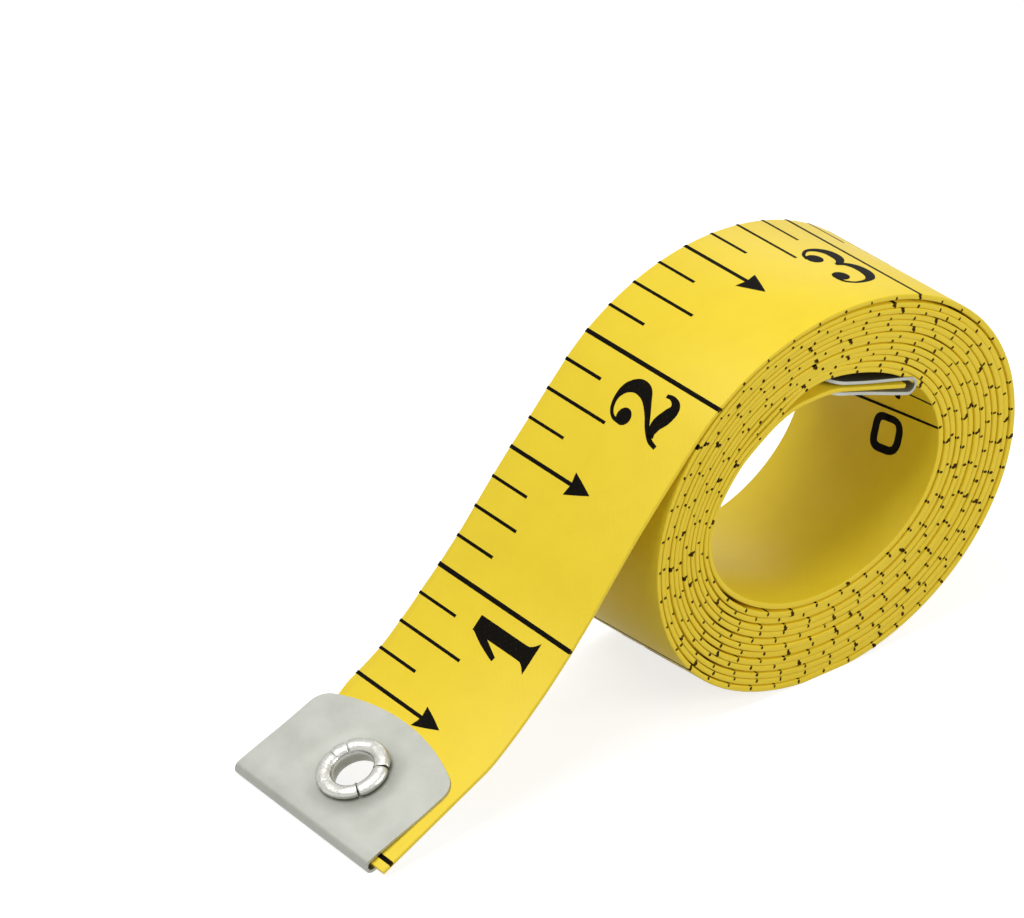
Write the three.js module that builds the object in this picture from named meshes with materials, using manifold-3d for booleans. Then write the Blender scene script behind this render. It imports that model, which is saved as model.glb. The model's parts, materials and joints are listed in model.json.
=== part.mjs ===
// A cloth tape measure, wound into a loose roll, with its free end drawn off the top and down to the table.
//
// The tape is one long strip. A sheet metal clip is folded over each of its two ends, and an eyelet is set
// through clip and tape. The strip bends wherever it is handled, so its free end is cut into short stretches
// that turn on one another, and so is its inner end, which springs against the inside of the roll.
//
// Lengths are in millimetres and angles in degrees. X runs from the free end to the roll, Y across the tape
// and Z up. The origin lies on the table, under the middle of the whole object.
import * as THREE from 'three';
import { mergeVertices } from 'three/addons/utils/BufferGeometryUtils.js';
import Module from 'manifold-3d';

const wasm = await Module();
wasm.setup();

// The tape. It is drawn thinner than the 0.45 mm of the real strip, so that the turns stay apart
// inside the walls of the real roll.
const tapeWidth = 18.5;
const tapeThickness = 0.12;

// The roll, which is wider than tall. Its radii are those of the tape's middle where the free end leaves.
const rollRadiusX = 22.64;
const rollRadiusZ = 20.0;
const rollTurns = 13;
const stepsPerTurn = 24;

// The free space between one turn and the next, which is tighter towards the free end and above.
const turnGapLeft = 0.46;
const turnGapRight = 0.68;
const turnGapTop = 0.462;
const turnGapBottom = 0.64;

// How far the roll settles onto the table, which flattens its lowest stretch.
const rollSettle = 0.03;

// Where the tape leaves the roll, where it can be peeled back to, and where its inner end turns inward.
const leaveAngle = 142.5;
const secondPeelAngle = 105;
const firstPeelAngle = 67.5;
const innerEndAngle = 110;

// The free end: a nearly straight drop, then a foot that flattens towards the table.
const dropLength = 17.7;
const dropBend = 4.6;
const footLength = 17.6;
const footBend = -25;
const stepsPerStretch = 6;

// The clip, a folded plate with a rounded free edge.
const clipWidth = 20;
const clipReach = 12.6;
const clipOpening = 0.9;
const clipSheet = 0.3;
const clipCrownRadius = 19;
const clipCornerRadius = 1.5;
const foldSteps = 10;

// The eyelet, with a rolled bead on one side and a low flange on the other.
const eyeletSetback = 5.9;
const eyeletBore = 1.95;
const eyeletSheet = 0.3;
const beadWidth = 1.55;
const beadHeight = 0.8;
const flangeRadius = 3.2;
const flangeHeight = 0.45;
const beadSteps = 6;
const roundSteps = 32;

// Each end runs straight into its clip, after a little bare tape. The inner one springs out towards the wall.
const outerBareTape = 1.2;
const innerBareTape = 1.25;
const innerWallGap = 0.32;
const steepestInnerSlope = 60;
const innerSlopeStep = 0.25;

// Clearances, and one overrun for every cut.
const restingGap = 0.3;
const seamGap = 0.3;
const cutOverrun = 1;

// Sizes that follow
const degree = Math.PI / 180;
const halfTape = tapeThickness / 2;
const clipInside = clipOpening / 2;
const clipOutside = clipInside + clipSheet;
const barrelRadius = eyeletBore + eyeletSheet;
const eyeletHoleRadius = barrelRadius + restingGap;
const stepAngle = 360 / stepsPerTurn;

const pitchLeft = tapeThickness + turnGapLeft;
const pitchRight = tapeThickness + turnGapRight;
const pitchTop = tapeThickness + turnGapTop;
const pitchBottom = tapeThickness + turnGapBottom;

const tapeMaterial = new THREE.MeshStandardMaterial({ color: 0xf2dc3c, roughness: 0.62, metalness: 0 });
const clipMaterial = new THREE.MeshStandardMaterial({ color: 0xccced0, roughness: 0.42, metalness: 0.85 });
const eyeletMaterial = new THREE.MeshStandardMaterial({ color: 0xe2e4e2, roughness: 0.25, metalness: 0.95 });

// The number of turns that lie between an angle of the spiral and the place where the tape leaves the roll.
const turnsAt = (angle) => (leaveAngle - angle) / 360;

// The height of the roll's middle. The lowest facet of the outer turn lies flat on the table.
const lowestTurns = turnsAt(-90);
const lowestRadius = rollRadiusZ - lowestTurns * (pitchTop + pitchBottom) / 2;
const lowestDrop = lowestRadius * Math.cos(stepAngle / 2 * degree);
const rollHeight = lowestDrop + halfTape - rollSettle - lowestTurns * (pitchBottom - pitchTop) / 2;

// A point of the tape's middle line on the roll, seen from the side: x along the object, y up. Angles run
// down from leaveAngle as the tape winds inward, and each turn is smaller and shifted to keep the pitches.
function spiralPoint(angle) {
  const turns = turnsAt(angle);
  const radiusX = rollRadiusX - turns * (pitchLeft + pitchRight) / 2;
  const radiusZ = rollRadiusZ - turns * (pitchTop + pitchBottom) / 2;
  const middleX = turns * (pitchLeft - pitchRight) / 2;
  const middleZ = rollHeight + turns * (pitchBottom - pitchTop) / 2;
  const x = middleX + radiusX * Math.cos(angle * degree);
  const z = middleZ + radiusZ * Math.sin(angle * degree);
  return new THREE.Vector2(x, Math.max(z, halfTape));
}

// The points of the spiral from one angle down to another, at whole steps and at both ends.
function spiralPoints(fromAngle, toAngle, step) {
  const points = [];
  for (let angle = fromAngle; angle > toAngle; angle -= step) {
    points.push(spiralPoint(angle));
  }
  points.push(spiralPoint(toAngle));
  return points;
}

// A point at a distance and a heading from another.
function pointFrom(start, distance, heading) {
  const step = new THREE.Vector2(Math.cos(heading * degree), Math.sin(heading * degree));
  return start.clone().add(step.multiplyScalar(distance));
}

// The points of an arc of the given length that leaves a point at a heading and turns by a bend.
function arcPoints(start, heading, length, bend) {
  const points = [start];
  const stride = length / stepsPerStretch;
  for (let step = 0; step < stepsPerStretch; step += 1) {
    const direction = heading + bend * (step + 0.5) / stepsPerStretch;
    points.push(pointFrom(points[step], stride, direction));
  }
  return points;
}

// A row of points with both its ends drawn in by half a seam.
function drawnIn(points) {
  const trimmed = points.map((point) => point.clone());
  const last = trimmed.length - 1;
  const inward = (end, next) => next.clone().sub(end).normalize().multiplyScalar(seamGap / 2);
  trimmed[0].add(inward(points[0], points[1]));
  trimmed[last].add(inward(points[last], points[last - 1]));
  return trimmed;
}

// The outer and inner face of the strip at each point of its middle line, mitred to keep it evenly thick.
function tapeFaces(points) {
  const headingFrom = (place) => points[place + 1].clone().sub(points[place]).normalize();
  return points.map((point, place) => {
    const arriving = headingFrom(Math.max(place - 1, 0));
    const leaving = headingFrom(Math.min(place, points.length - 2));
    const along = arriving.clone().add(leaving).normalize();
    const reach = halfTape / along.dot(leaving);
    const outward = new THREE.Vector2(-along.y, along.x).multiplyScalar(reach);
    return { outer: point.clone().add(outward), inner: point.clone().sub(outward) };
  });
}

// A closed strip along a row of points that runs from the free end towards the roll's inside.
function stripGeometry(points) {
  const half = tapeWidth / 2;
  const positions = [];
  tapeFaces(points).forEach(({ outer, inner }) => {
    positions.push(outer.x, half, outer.y);
    positions.push(outer.x, -half, outer.y);
    positions.push(inner.x, -half, inner.y);
    positions.push(inner.x, half, inner.y);
  });
  const index = [0, 3, 2, 0, 2, 1];
  for (let station = 0; station < points.length - 1; station += 1) {
    for (let side = 0; side < 4; side += 1) {
      const here = 4 * station + side;
      const beside = 4 * station + (side + 1) % 4;
      index.push(here, beside, here + 4);
      index.push(beside, beside + 4, here + 4);
    }
  }
  const end = 4 * (points.length - 1);
  index.push(end, end + 1, end + 2, end, end + 2, end + 3);
  const geometry = new THREE.BufferGeometry();
  geometry.setAttribute('position', new THREE.Float32BufferAttribute(positions, 3));
  geometry.setIndex(index);
  geometry.computeVertexNormals();
  return geometry;
}

// The least distance from one turn to the next, from each point of a face to the stretches across from it.
function leastTurnGap(points) {
  const outerSide = tapeFaces(points).map((face) => face.inner);
  const innerSide = tapeFaces(points).map((face) => face.outer);
  let least = Infinity;
  for (let place = 0; place + stepsPerTurn < points.length - 1; place += 1) {
    for (let near = -1; near < 1; near += 1) {
      const above = Math.max(place + near, 0);
      const below = place + stepsPerTurn + near;
      const down = distanceToStretch(outerSide[place], innerSide[below], innerSide[below + 1]);
      const up = distanceToStretch(innerSide[place + stepsPerTurn], outerSide[above], outerSide[above + 1]);
      least = Math.min(least, down, up);
    }
  }
  return least;
}

// The distance from a point to the straight stretch between two others, all seen from the side.
function distanceToStretch(point, from, to) {
  const stretch = to.clone().sub(from);
  const share = THREE.MathUtils.clamp(point.clone().sub(from).dot(stretch) / stretch.lengthSq(), 0, 1);
  return from.clone().add(stretch.multiplyScalar(share)).distanceTo(point);
}

// Booleans
function solidOf(geometry) {
  const bare = new THREE.BufferGeometry();
  bare.setAttribute('position', geometry.getAttribute('position'));
  bare.setIndex(geometry.getIndex());
  const merged = mergeVertices(bare);
  const vertProperties = new Float32Array(merged.getAttribute('position').array);
  const triVerts = new Uint32Array(merged.getIndex().array);
  return new wasm.Manifold(new wasm.Mesh({ numProp: 3, vertProperties, triVerts }));
}

function geometryOf(solid) {
  const mesh = solid.getMesh();
  const geometry = new THREE.BufferGeometry();
  geometry.setAttribute('position', new THREE.BufferAttribute(new Float32Array(mesh.vertProperties), 3));
  geometry.setIndex(new THREE.BufferAttribute(new Uint32Array(mesh.triVerts), 1));
  geometry.computeVertexNormals();
  return geometry;
}

function extruded(shape, depth, curveSegments) {
  const geometry = new THREE.ExtrudeGeometry(shape, { depth, curveSegments, bevelEnabled: false });
  return geometry.translate(0, 0, -depth / 2);
}

// The clip, in its own frame: x runs from the middle of its fold to its open edge, and z out of its face.
function clipGeometry() {
  const legEnd = clipReach + cutOverrun;
  const section = new THREE.Shape();
  section.moveTo(legEnd, -clipOutside);
  section.lineTo(0, -clipOutside);
  section.absarc(0, 0, clipOutside, -Math.PI / 2, Math.PI / 2, true);
  section.lineTo(legEnd, clipOutside);
  section.lineTo(legEnd, clipInside);
  section.lineTo(0, clipInside);
  section.absarc(0, 0, clipInside, Math.PI / 2, -Math.PI / 2, false);
  section.lineTo(legEnd, -clipInside);
  const folded = extruded(section, clipWidth, foldSteps).rotateX(Math.PI / 2);

  const crownMiddle = clipReach - clipCrownRadius;
  const cornerSide = clipWidth / 2 - clipCornerRadius;
  const cornerSweep = Math.asin(cornerSide / (clipCrownRadius - clipCornerRadius));
  const cornerMiddle = crownMiddle + cornerSide / Math.tan(cornerSweep);
  const foldEnd = -clipOutside - cutOverrun;
  const outline = new THREE.Shape();
  outline.moveTo(foldEnd, -clipWidth / 2 - cutOverrun);
  outline.lineTo(0, -clipWidth / 2 - cutOverrun);
  outline.lineTo(0, -clipWidth / 2);
  outline.absarc(cornerMiddle, -cornerSide, clipCornerRadius, -Math.PI / 2, -cornerSweep, false);
  outline.absarc(crownMiddle, 0, clipCrownRadius, -cornerSweep, cornerSweep, false);
  outline.absarc(cornerMiddle, cornerSide, clipCornerRadius, cornerSweep, Math.PI / 2, false);
  outline.lineTo(0, clipWidth / 2);
  outline.lineTo(0, clipWidth / 2 + cutOverrun);
  outline.lineTo(foldEnd, clipWidth / 2 + cutOverrun);
  const cutter = extruded(outline, 2 * (clipOutside + cutOverrun), foldSteps);

  const drill = new THREE.CylinderGeometry(
    eyeletHoleRadius, eyeletHoleRadius, 2 * (clipOutside + cutOverrun), roundSteps
  );
  drill.rotateX(Math.PI / 2).translate(eyeletSetback, 0, 0);
  return geometryOf(solidOf(folded).intersect(solidOf(cutter)).subtract(solidOf(drill)));
}

// The eyelet, turned about its own axis, which is the clip's z.
function eyeletGeometry() {
  const beadMiddle = eyeletBore + beadWidth / 2;
  const beadSeat = clipOutside + restingGap;
  const profile = [new THREE.Vector2(eyeletBore, -beadSeat - flangeHeight)];
  for (let step = 0; step <= beadSteps; step += 1) {
    const turn = Math.PI / 2 * step / beadSteps;
    const spread = flangeRadius - beadMiddle;
    profile.push(new THREE.Vector2(
      beadMiddle + spread * Math.sin(turn), -beadSeat - flangeHeight * Math.cos(turn)
    ));
  }
  profile.push(new THREE.Vector2(barrelRadius, -beadSeat));
  profile.push(new THREE.Vector2(barrelRadius, beadSeat));
  for (let step = 0; step <= 2 * beadSteps; step += 1) {
    const turn = Math.PI / 2 * (3 * step / (2 * beadSteps) - 1);
    profile.push(new THREE.Vector2(
      beadMiddle + beadWidth / 2 * Math.cos(turn), beadSeat + beadHeight / 2 * (1 + Math.sin(turn))
    ));
  }
  profile.push(profile[0].clone());
  return new THREE.LatheGeometry(profile, roundSteps).rotateX(Math.PI / 2);
}

// The last of the tape, which lies flat between the clip's two leaves and has a hole for the eyelet.
function tapeEndGeometry(hingeReach) {
  const strip = new THREE.Shape();
  strip.moveTo(0, -tapeWidth / 2);
  strip.lineTo(hingeReach - seamGap / 2, -tapeWidth / 2);
  strip.lineTo(hingeReach - seamGap / 2, tapeWidth / 2);
  strip.lineTo(0, tapeWidth / 2);
  const hole = new THREE.Path();
  hole.absarc(eyeletSetback, 0, eyeletHoleRadius, 0, 2 * Math.PI, true);
  strip.holes.push(hole);
  return extruded(strip, tapeThickness, roundSteps / 2);
}

function namedMesh(name, geometry, material) {
  const mesh = new THREE.Mesh(geometry, material);
  mesh.name = name;
  return mesh;
}

// One end of the tape with its clip and eyelet, turned to a slope about Y, with its fold at a place.
function endFitting(names, hingeReach, fold, slope) {
  const group = new THREE.Group();
  group.add(namedMesh(names.tape, tapeEndGeometry(hingeReach), tapeMaterial));
  group.add(namedMesh(names.clip, clipGeometry(), clipMaterial));
  const eyelet = namedMesh(names.eyelet, eyeletGeometry(), eyeletMaterial);
  eyelet.position.x = eyeletSetback;
  group.add(eyelet);
  group.position.set(fold.x, 0, fold.y);
  group.rotation.y = -slope * degree;
  return group;
}

// The least distance between the inner fitting, at a slope, and the turn of the roll that lies over it.
function wallGapAt(slope) {
  const faces = tapeFaces(rollPoints).slice(-2 * stepsPerTurn, -stepsPerTurn / 2).map((face) => face.inner);
  const fold = pointFrom(innerHinge, innerHingeReach, -slope);
  const above = (reach, height) => pointFrom(pointFrom(fold, reach, 180 - slope), height, 90 - slope);
  const flangeTop = clipOutside + restingGap + flangeHeight;
  const wallSide = [
    [fold, clipOutside],
    [above(clipReach, clipOutside), 0],
    [above(eyeletSetback + flangeRadius, flangeTop), 0],
    [above(eyeletSetback - flangeRadius, flangeTop), 0],
  ];
  const gaps = wallSide.map(([point, radius]) => {
    const distances = faces.slice(1).map((to, place) => distanceToStretch(point, faces[place], to));
    return Math.min(...distances) - radius;
  });
  return Math.min(...gaps);
}

// The slope to which the inner fitting springs out, from a steep one, before it meets that gap.
function slopeOffWall() {
  let slope = steepestInnerSlope;
  while (slope > 0 && wallGapAt(slope - innerSlopeStep) > innerWallGap) {
    slope -= innerSlopeStep;
  }
  return slope;
}

// The free end's middle line, from the place where it leaves the roll. Headings run towards the free end.
const leavePoint = spiralPoint(leaveAngle);
const leaveSlopeX = -rollRadiusX * Math.sin(leaveAngle * degree);
const leaveSlopeZ = rollRadiusZ * Math.cos(leaveAngle * degree);
const leaveHeading = Math.atan2(leaveSlopeZ, leaveSlopeX) / degree;
const dropPoints = arcPoints(leavePoint, leaveHeading, dropLength, dropBend);
const dropEnd = dropPoints[stepsPerStretch];
const footPoints = arcPoints(dropEnd, leaveHeading + dropBend, footLength, footBend);
const footEnd = footPoints[stepsPerStretch];

// The clip slopes from the foot's end down to the table, which its fold touches.
const outerHingeReach = clipReach + outerBareTape;
const outerSlope = Math.asin((footEnd.y - clipOutside) / outerHingeReach) / degree;
const outerFold = pointFrom(footEnd, outerHingeReach, outerSlope + 180);

const rollPoints = spiralPoints(firstPeelAngle, innerEndAngle - 360 * rollTurns, stepAngle);

// The inner end runs from the last turn down across the roll's hollow.
const innerHinge = rollPoints[rollPoints.length - 1];
const innerHingeReach = clipReach + innerBareTape;
const innerEndSlope = slopeOffWall();
const innerFold = pointFrom(innerHinge, innerHingeReach, -innerEndSlope);
const topPoints = spiralPoints(secondPeelAngle, firstPeelAngle, stepAngle / 2);
const shoulderPoints = spiralPoints(leaveAngle, secondPeelAngle, stepAngle / 2);

const tapeMeasure = new THREE.Group();
const stretches = {
  tape_roll: rollPoints,
  tape_top: topPoints,
  tape_shoulder: shoulderPoints,
  tape_drop: dropPoints.slice().reverse(),
  tape_foot: footPoints.slice().reverse(),
};
for (const [name, points] of Object.entries(stretches)) {
  tapeMeasure.add(namedMesh(name, stripGeometry(drawnIn(points)), tapeMaterial));
}
const outerNames = { tape: 'tape_end', clip: 'end_clip', eyelet: 'end_eyelet' };
const innerNames = { tape: 'inner_tape_end', clip: 'inner_clip', eyelet: 'inner_eyelet' };
tapeMeasure.add(endFitting(outerNames, outerHingeReach, outerFold, outerSlope));
tapeMeasure.add(endFitting(innerNames, innerHingeReach, innerFold, 180 - innerEndSlope));

// The whole object stands with its middle over the origin.
const box = new THREE.Box3().setFromObject(tapeMeasure, true);
tapeMeasure.position.x = -(box.min.x + box.max.x) / 2;

function pathLength(points) {
  return points.slice(1).reduce((sum, point, place) => sum + point.distanceTo(points[place]), 0);
}

const stretchLengths = Object.values(stretches).map(pathLength);
const endLengths = outerHingeReach + innerHingeReach;
const tapeLength = stretchLengths.reduce((sum, length) => sum + length, endLengths);
const report = (name, point) => {
  const x = (point.x + tapeMeasure.position.x).toFixed(3);
  console.log(`${name}: x ${x}, z ${point.y.toFixed(3)}`);
};
console.log(`least gap between turns: ${leastTurnGap(rollPoints).toFixed(3)} mm`);
console.log(`tape length along its middle: ${tapeLength.toFixed(1)} mm`);
console.log(`outer clip slope: ${outerSlope.toFixed(3)} degrees, inner: ${innerEndSlope.toFixed(3)} degrees`);
report('hinge of the top stretch', rollPoints[0]);
report('hinge of the shoulder', topPoints[0]);
report('hinge of the drop', leavePoint);
report('hinge of the foot', dropEnd);
report('hinge of the end clip', footEnd);
report('hinge of the inner end', innerHinge);
report('fold of the end clip', outerFold);
report('fold of the inner clip', innerFold);
report('middle of the roll', new THREE.Vector2(0, rollHeight));

export default tapeMeasure;
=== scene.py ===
# %% [markdown]
# # A cloth tape measure
# A strip of woven cloth, coated in yellow and printed in black, wound thirteen times round itself. Each end
# is held in a folded clip of tinned sheet steel with an eyelet through it. The real tape is coated and
# printed while it lies flat, and is wound last. This script works in the same order: flat strip, flat
# print, flat metal blanks, and one Geometry Nodes tree that lays them along a path.

# %% Load the frame
import json
import math
import random

import bmesh
import bpy
import numpy as np
from mathutils import Matrix, Vector


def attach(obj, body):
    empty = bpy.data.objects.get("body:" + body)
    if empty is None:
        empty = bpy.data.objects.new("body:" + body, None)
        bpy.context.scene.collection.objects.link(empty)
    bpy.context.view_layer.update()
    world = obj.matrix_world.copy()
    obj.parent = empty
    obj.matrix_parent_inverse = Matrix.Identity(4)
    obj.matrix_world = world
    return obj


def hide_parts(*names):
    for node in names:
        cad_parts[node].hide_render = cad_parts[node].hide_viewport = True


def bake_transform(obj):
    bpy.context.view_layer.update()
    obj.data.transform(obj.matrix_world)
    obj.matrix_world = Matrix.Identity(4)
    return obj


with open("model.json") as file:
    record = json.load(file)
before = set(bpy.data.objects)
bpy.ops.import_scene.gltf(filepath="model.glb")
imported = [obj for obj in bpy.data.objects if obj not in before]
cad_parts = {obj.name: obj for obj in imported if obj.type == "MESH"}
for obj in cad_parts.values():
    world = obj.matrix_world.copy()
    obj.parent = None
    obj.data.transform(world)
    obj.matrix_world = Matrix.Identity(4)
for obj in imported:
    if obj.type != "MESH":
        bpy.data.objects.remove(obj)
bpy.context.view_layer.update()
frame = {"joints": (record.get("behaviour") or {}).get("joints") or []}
MM = 0.001
hinge = {joint["name"]: np.array(joint["pos_m"])[[0, 2]] / MM for joint in frame["joints"]}
print("hinges, side view in mm", {name: place.round(2).tolist() for name, place in hinge.items()})

# %% [markdown]
# ## The path of the tape
# Seen from the side the tape is one line: straight in the clip, up a slack S to the roll, round the roll
# thirteen times, and off the inner wall into the inner clip. A spiral with an even pitch would look like a
# machine part. A tape that was wound by hand lies tight on its left side, loose on its right, and settles
# under its own weight, so the pitch here changes with the angle and a little from turn to turn.

# %% Sizes of the tape and of the roll, in millimetres and degrees
WIDTH = 18.5
THICK = 0.44
LEAVE_ANGLE = 142.5
TURNS = 13
STEP_ANGLE = 1.5
LAST_ANGLE = 136 - 360 * TURNS
# the roll's outer face at the left and below, and at the right and above, and the pitch of its turns there
OUTSIDE = np.array([[-6.016, -0.474], [39.17, 39.41]])
PITCH = np.array([[0.491, 0.73], [0.78, 0.563]])
# the roll's middle, half its size to the middle of the cloth, what each turn takes off that half, and how
# far each turn moves the middle
MIDDLE = OUTSIDE.mean(axis=0)
HALF = (OUTSIDE[1] - OUTSIDE[0] - THICK) / 2
SHRINK = PITCH.mean(axis=0)
DRIFT = (PITCH[0] - PITCH[1]) / 2
# where the roll is not an even spiral: how far out the cloth lies there, the middle angle and the reach
UNEVEN = {
    "stand_off": (-0.2, 76, 34),
    "over_clip": (0.45, 98, 17),
    "before_clip": (-0.65, 123, 14),
    "lower_left": (-0.22, -128, 26),
    "sag": (0.5, -134, 30),
    "shoulder": (-0.6, 150, 22),
}
SLACK = 0.022
# the lowest that the middle of the cloth may lie
LOWEST = 0.315


def way(angle):
    """The direction of an angle in the side view."""
    return np.array([math.cos(math.radians(angle)), math.sin(math.radians(angle))])


def square_to(direction):
    """The direction a quarter turn to the left of another."""
    return np.array([-direction[1], direction[0]])


def hill(angle, height, middle, reach):
    """A smooth hill round the roll, with its height at the middle angle and about 0 at twice its reach."""
    away = (angle - middle + 180) % 360 - 180
    return height * math.exp(-(away / reach) ** 2)


def ease(share):
    """A soft step: 0 up to 0, 1 from 1 on."""
    share = min(max(share, 0.0), 1.0)
    return share * share * (3 - 2 * share)


def looseness(angle, turns):
    """How far the tape lies off the even spiral, outward."""
    slack = way(2 * angle + 141 * turns)[1] + 0.8 * way(angle + 205 * turns)[1]
    off = SLACK * slack * ease((turns - 0.9) * 2) * ease((TURNS - turns) * 2)
    grown = {
        "stand_off": ease((turns - 0.75) * 3) * (1 - ease((turns - 1) / 9)),
        "over_clip": ease((turns - 8.5) / 3.4),
        "before_clip": ease((turns - 9.2) / 3.6),
        "lower_left": ease((turns - 12.3) * 4),
        "sag": ease((turns - 0.3) * 4) * (1 - turns / TURNS),
        "shoulder": turns / TURNS,
    }
    return off + sum(hill(angle, *UNEVEN[place]) * share for place, share in grown.items())


def local_pitch(angle):
    """How far apart two turns lie at an angle, square to the tape."""
    square = way(angle) / HALF
    return float((SHRINK * way(angle) - DRIFT) @ square / np.linalg.norm(square))


def roll_point(angle):
    """The middle line of the tape on the roll, at an angle that falls as the tape winds inward."""
    turns = (LEAVE_ANGLE - angle) / 360
    x, z = MIDDLE + turns * DRIFT + (HALF - turns * SHRINK + looseness(angle, turns)) * way(angle)
    return np.array([x, max(z, LOWEST)])


print("pitch of the turns", {angle: round(local_pitch(angle), 2) for angle in (0, 90, 180, 270)})

# %% The free end, from the roll down to the end clip
LEAVE_HEADING = -130.98
DROP_RUN, DROP_BEND = 17.7, 4.6
FOOT_RUN, FOOT_BEND = 17.6, -25
END_RUN, END_SLOPE = 13.37, 24.18


def bent_run(start, heading, length, bend, steps):
    """Points of a run that leaves a point at a heading and turns evenly by a bend."""
    points = [np.array(start, float)]
    for step in range(steps):
        points.append(points[-1] + length / steps * way(heading + bend * (step + 0.5) / steps))
    return points


drop = bent_run(hinge["drop_lift"], LEAVE_HEADING, DROP_RUN, DROP_BEND, 36)
foot = bent_run(hinge["foot_curl"], LEAVE_HEADING + DROP_BEND, FOOT_RUN, FOOT_BEND, 36)
end_run = bent_run(hinge["clip_flex"], 180 + END_SLOPE, END_RUN, 0, 24)
free_end = (drop[:-1] + foot[:-1] + end_run)[::-1]
print("the tip of the tape lies at", free_end[0].round(2).tolist())

# %% The roll, which takes over from the free end without a kink
TAKE_OVER = 35
step_off = hinge["drop_lift"] - roll_point(LEAVE_ANGLE)
roll_angles = np.arange(LEAVE_ANGLE - STEP_ANGLE, LAST_ANGLE - 1e-6, -STEP_ANGLE)
rolled = [
    roll_point(angle) + step_off * (1 - ease((LEAVE_ANGLE - angle) / TAKE_OVER)) for angle in roll_angles]
print("points on the roll", len(rolled))

# %% The inner end, which bends off the wall into the inner clip
INNER_SLOPE = 16.5
CLIP_REACH = 12.4
TIP_INSET = {"end": 0.05, "inner_end": 0.4}
BEND_STEPS = 24
BEND_FULLNESS = 1.05
# where the cloth enters the clip, along from its fold and out from its middle, and how far out it ends there
MOUTH_IN, MOUTH_OUT, TIP_OUT = 8.5, 0.17, 0.05
inner_fold = np.array([24.45, 28.5])
inner_axis = way(180 - INNER_SLOPE)
inner_out = square_to(inner_axis)


def easy_bend(start, start_way, end, end_way):
    """Points of a soft bend from one place to another, each with the direction of the run there."""
    span = np.linalg.norm(end - start) * BEND_FULLNESS
    points = []
    for step in range(1, BEND_STEPS + 1):
        t = step / BEND_STEPS
        a, b, c, d = 2 * t**3 - 3 * t**2 + 1, t**3 - 2 * t**2 + t, -2 * t**3 + 3 * t**2, t**3 - t**2
        points.append(a * start + b * span * start_way + c * end + d * span * end_way)
    return points


# the cloth sinks between the wall and the clip, and lies on the clip's lower leaf
leave_wall = rolled[-1] - rolled[-2]
leave_wall /= np.linalg.norm(leave_wall)
hang, hang_way = np.array([11.5, 31.0]), np.array([0.9988, 0.05])
mouth = inner_fold + inner_axis * MOUTH_IN + inner_out * MOUTH_OUT
bend_in = easy_bend(rolled[-1], leave_wall, hang, hang_way) + easy_bend(hang, hang_way, mouth, -inner_axis)
inner_tip = inner_fold + inner_axis * TIP_INSET["inner_end"] + inner_out * TIP_OUT
in_clip = list(np.linspace(mouth, inner_tip, BEND_STEPS + 1)[1:])

side_line = np.array(free_end + rolled + bend_in + in_clip)
run_length = np.concatenate([[0], np.cumsum(np.linalg.norm(np.diff(side_line, axis=0), axis=1))])
ON_ROLL = len(free_end)
OFF_ROLL = ON_ROLL + len(rolled)
LEAVE_AT, ROLL_END_AT, TAPE_LENGTH = [float(run_length[place]) for place in (ON_ROLL - 1, OFF_ROLL - 1, -1)]
print(f"tape {TAPE_LENGTH:.1f} mm long, on the roll from {LEAVE_AT:.2f} to {ROLL_END_AT:.1f}")

# %% Places along the path, by their length from the tape's tip
FIRST_TURN = int(360 / STEP_ANGLE)


def length_at(place):
    """The length at which the free end or the first turn comes closest to a point."""
    away = np.linalg.norm(side_line[:ON_ROLL + FIRST_TURN] - place, axis=1)
    return float(run_length[int(np.argmin(away))])


def length_of_angle(wanted):
    """The length at which the tape passes an angle of the spiral."""
    place = ON_ROLL + (LEAVE_ANGLE - STEP_ANGLE - wanted) / STEP_ANGLE
    return float(np.interp(place, range(len(run_length)), run_length))


PEEL_AT = length_at(hinge["top_peel"])
SHOULDER_AT = length_at(hinge["shoulder_peel"])
print("peel hinge at", round(PEEL_AT, 2), "shoulder hinge at", round(SHOULDER_AT, 2))


# %% The path as a curve, for the trees that lay things along it
def place_object(name, data):
    """A new object in the scene."""
    made = bpy.data.objects.new(name, data)
    bpy.context.scene.collection.objects.link(made)
    return made


def path_curve(name, points, sideways=0.0, fullness=1.0, splay=0.0):
    """A straight-sided curve object through points of the side view.

    Its radius says how much thicker than flat a strip is drawn there, and its tilt how many millimetres
    the strip's far edge stands further out than its near one.
    """
    data = bpy.data.curves.new(name, "CURVE")
    data.dimensions = "3D"
    line = data.splines.new("POLY")
    line.points.add(len(points) - 1)
    columns = [np.broadcast_to(values, len(points)) for values in (sideways, fullness, splay)]
    for point, (x, z), y, full, lean in zip(line.points, points, *columns):
        point.co = (x * MM, y * MM, z * MM, 1)
        point.radius = full
        point.tilt = lean
    made = place_object(name, data)
    made.hide_render = True
    return made


# the free end was sewn a little askew into its clip: lengths from the tip, and places across
ASKEW = (
    [0, 6, 12, 14, 17, 20, 24, 28, 38, 54],
    [-1.72, -1.36, -0.99, -0.86, -0.5, -0.18, 0.12, 0.28, 0.28, 0])
# turns of a hand-wound roll don't end in one plane: each slips a little along its axle
SLIP, SLIP_FROM, SLIP_OVER = 0.08, 90, 60
SLIP_WAVES = (31.0, 173.0)
# the turns lie closer on the left than on the right, where the loose cloth is drawn fuller to fill its place
LEAST_GAP = 0.08
FULLEST = 1.42
# how far the far edge of the cloth stands further out than the near one, by angle as in UNEVEN
SPLAY = {"bottom": (1.2, -88, 42), "right": (-0.5, 0, 30), "lower_left": (1.1, -142, 30)}
# at the inner end, how much, and over what lengths past the roll it grows, is held and goes
INNER_SPLAY, SPLAY_GROWS, SPLAY_HELD, SPLAY_GOES = 0.9, 6, 8, 4.5


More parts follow.
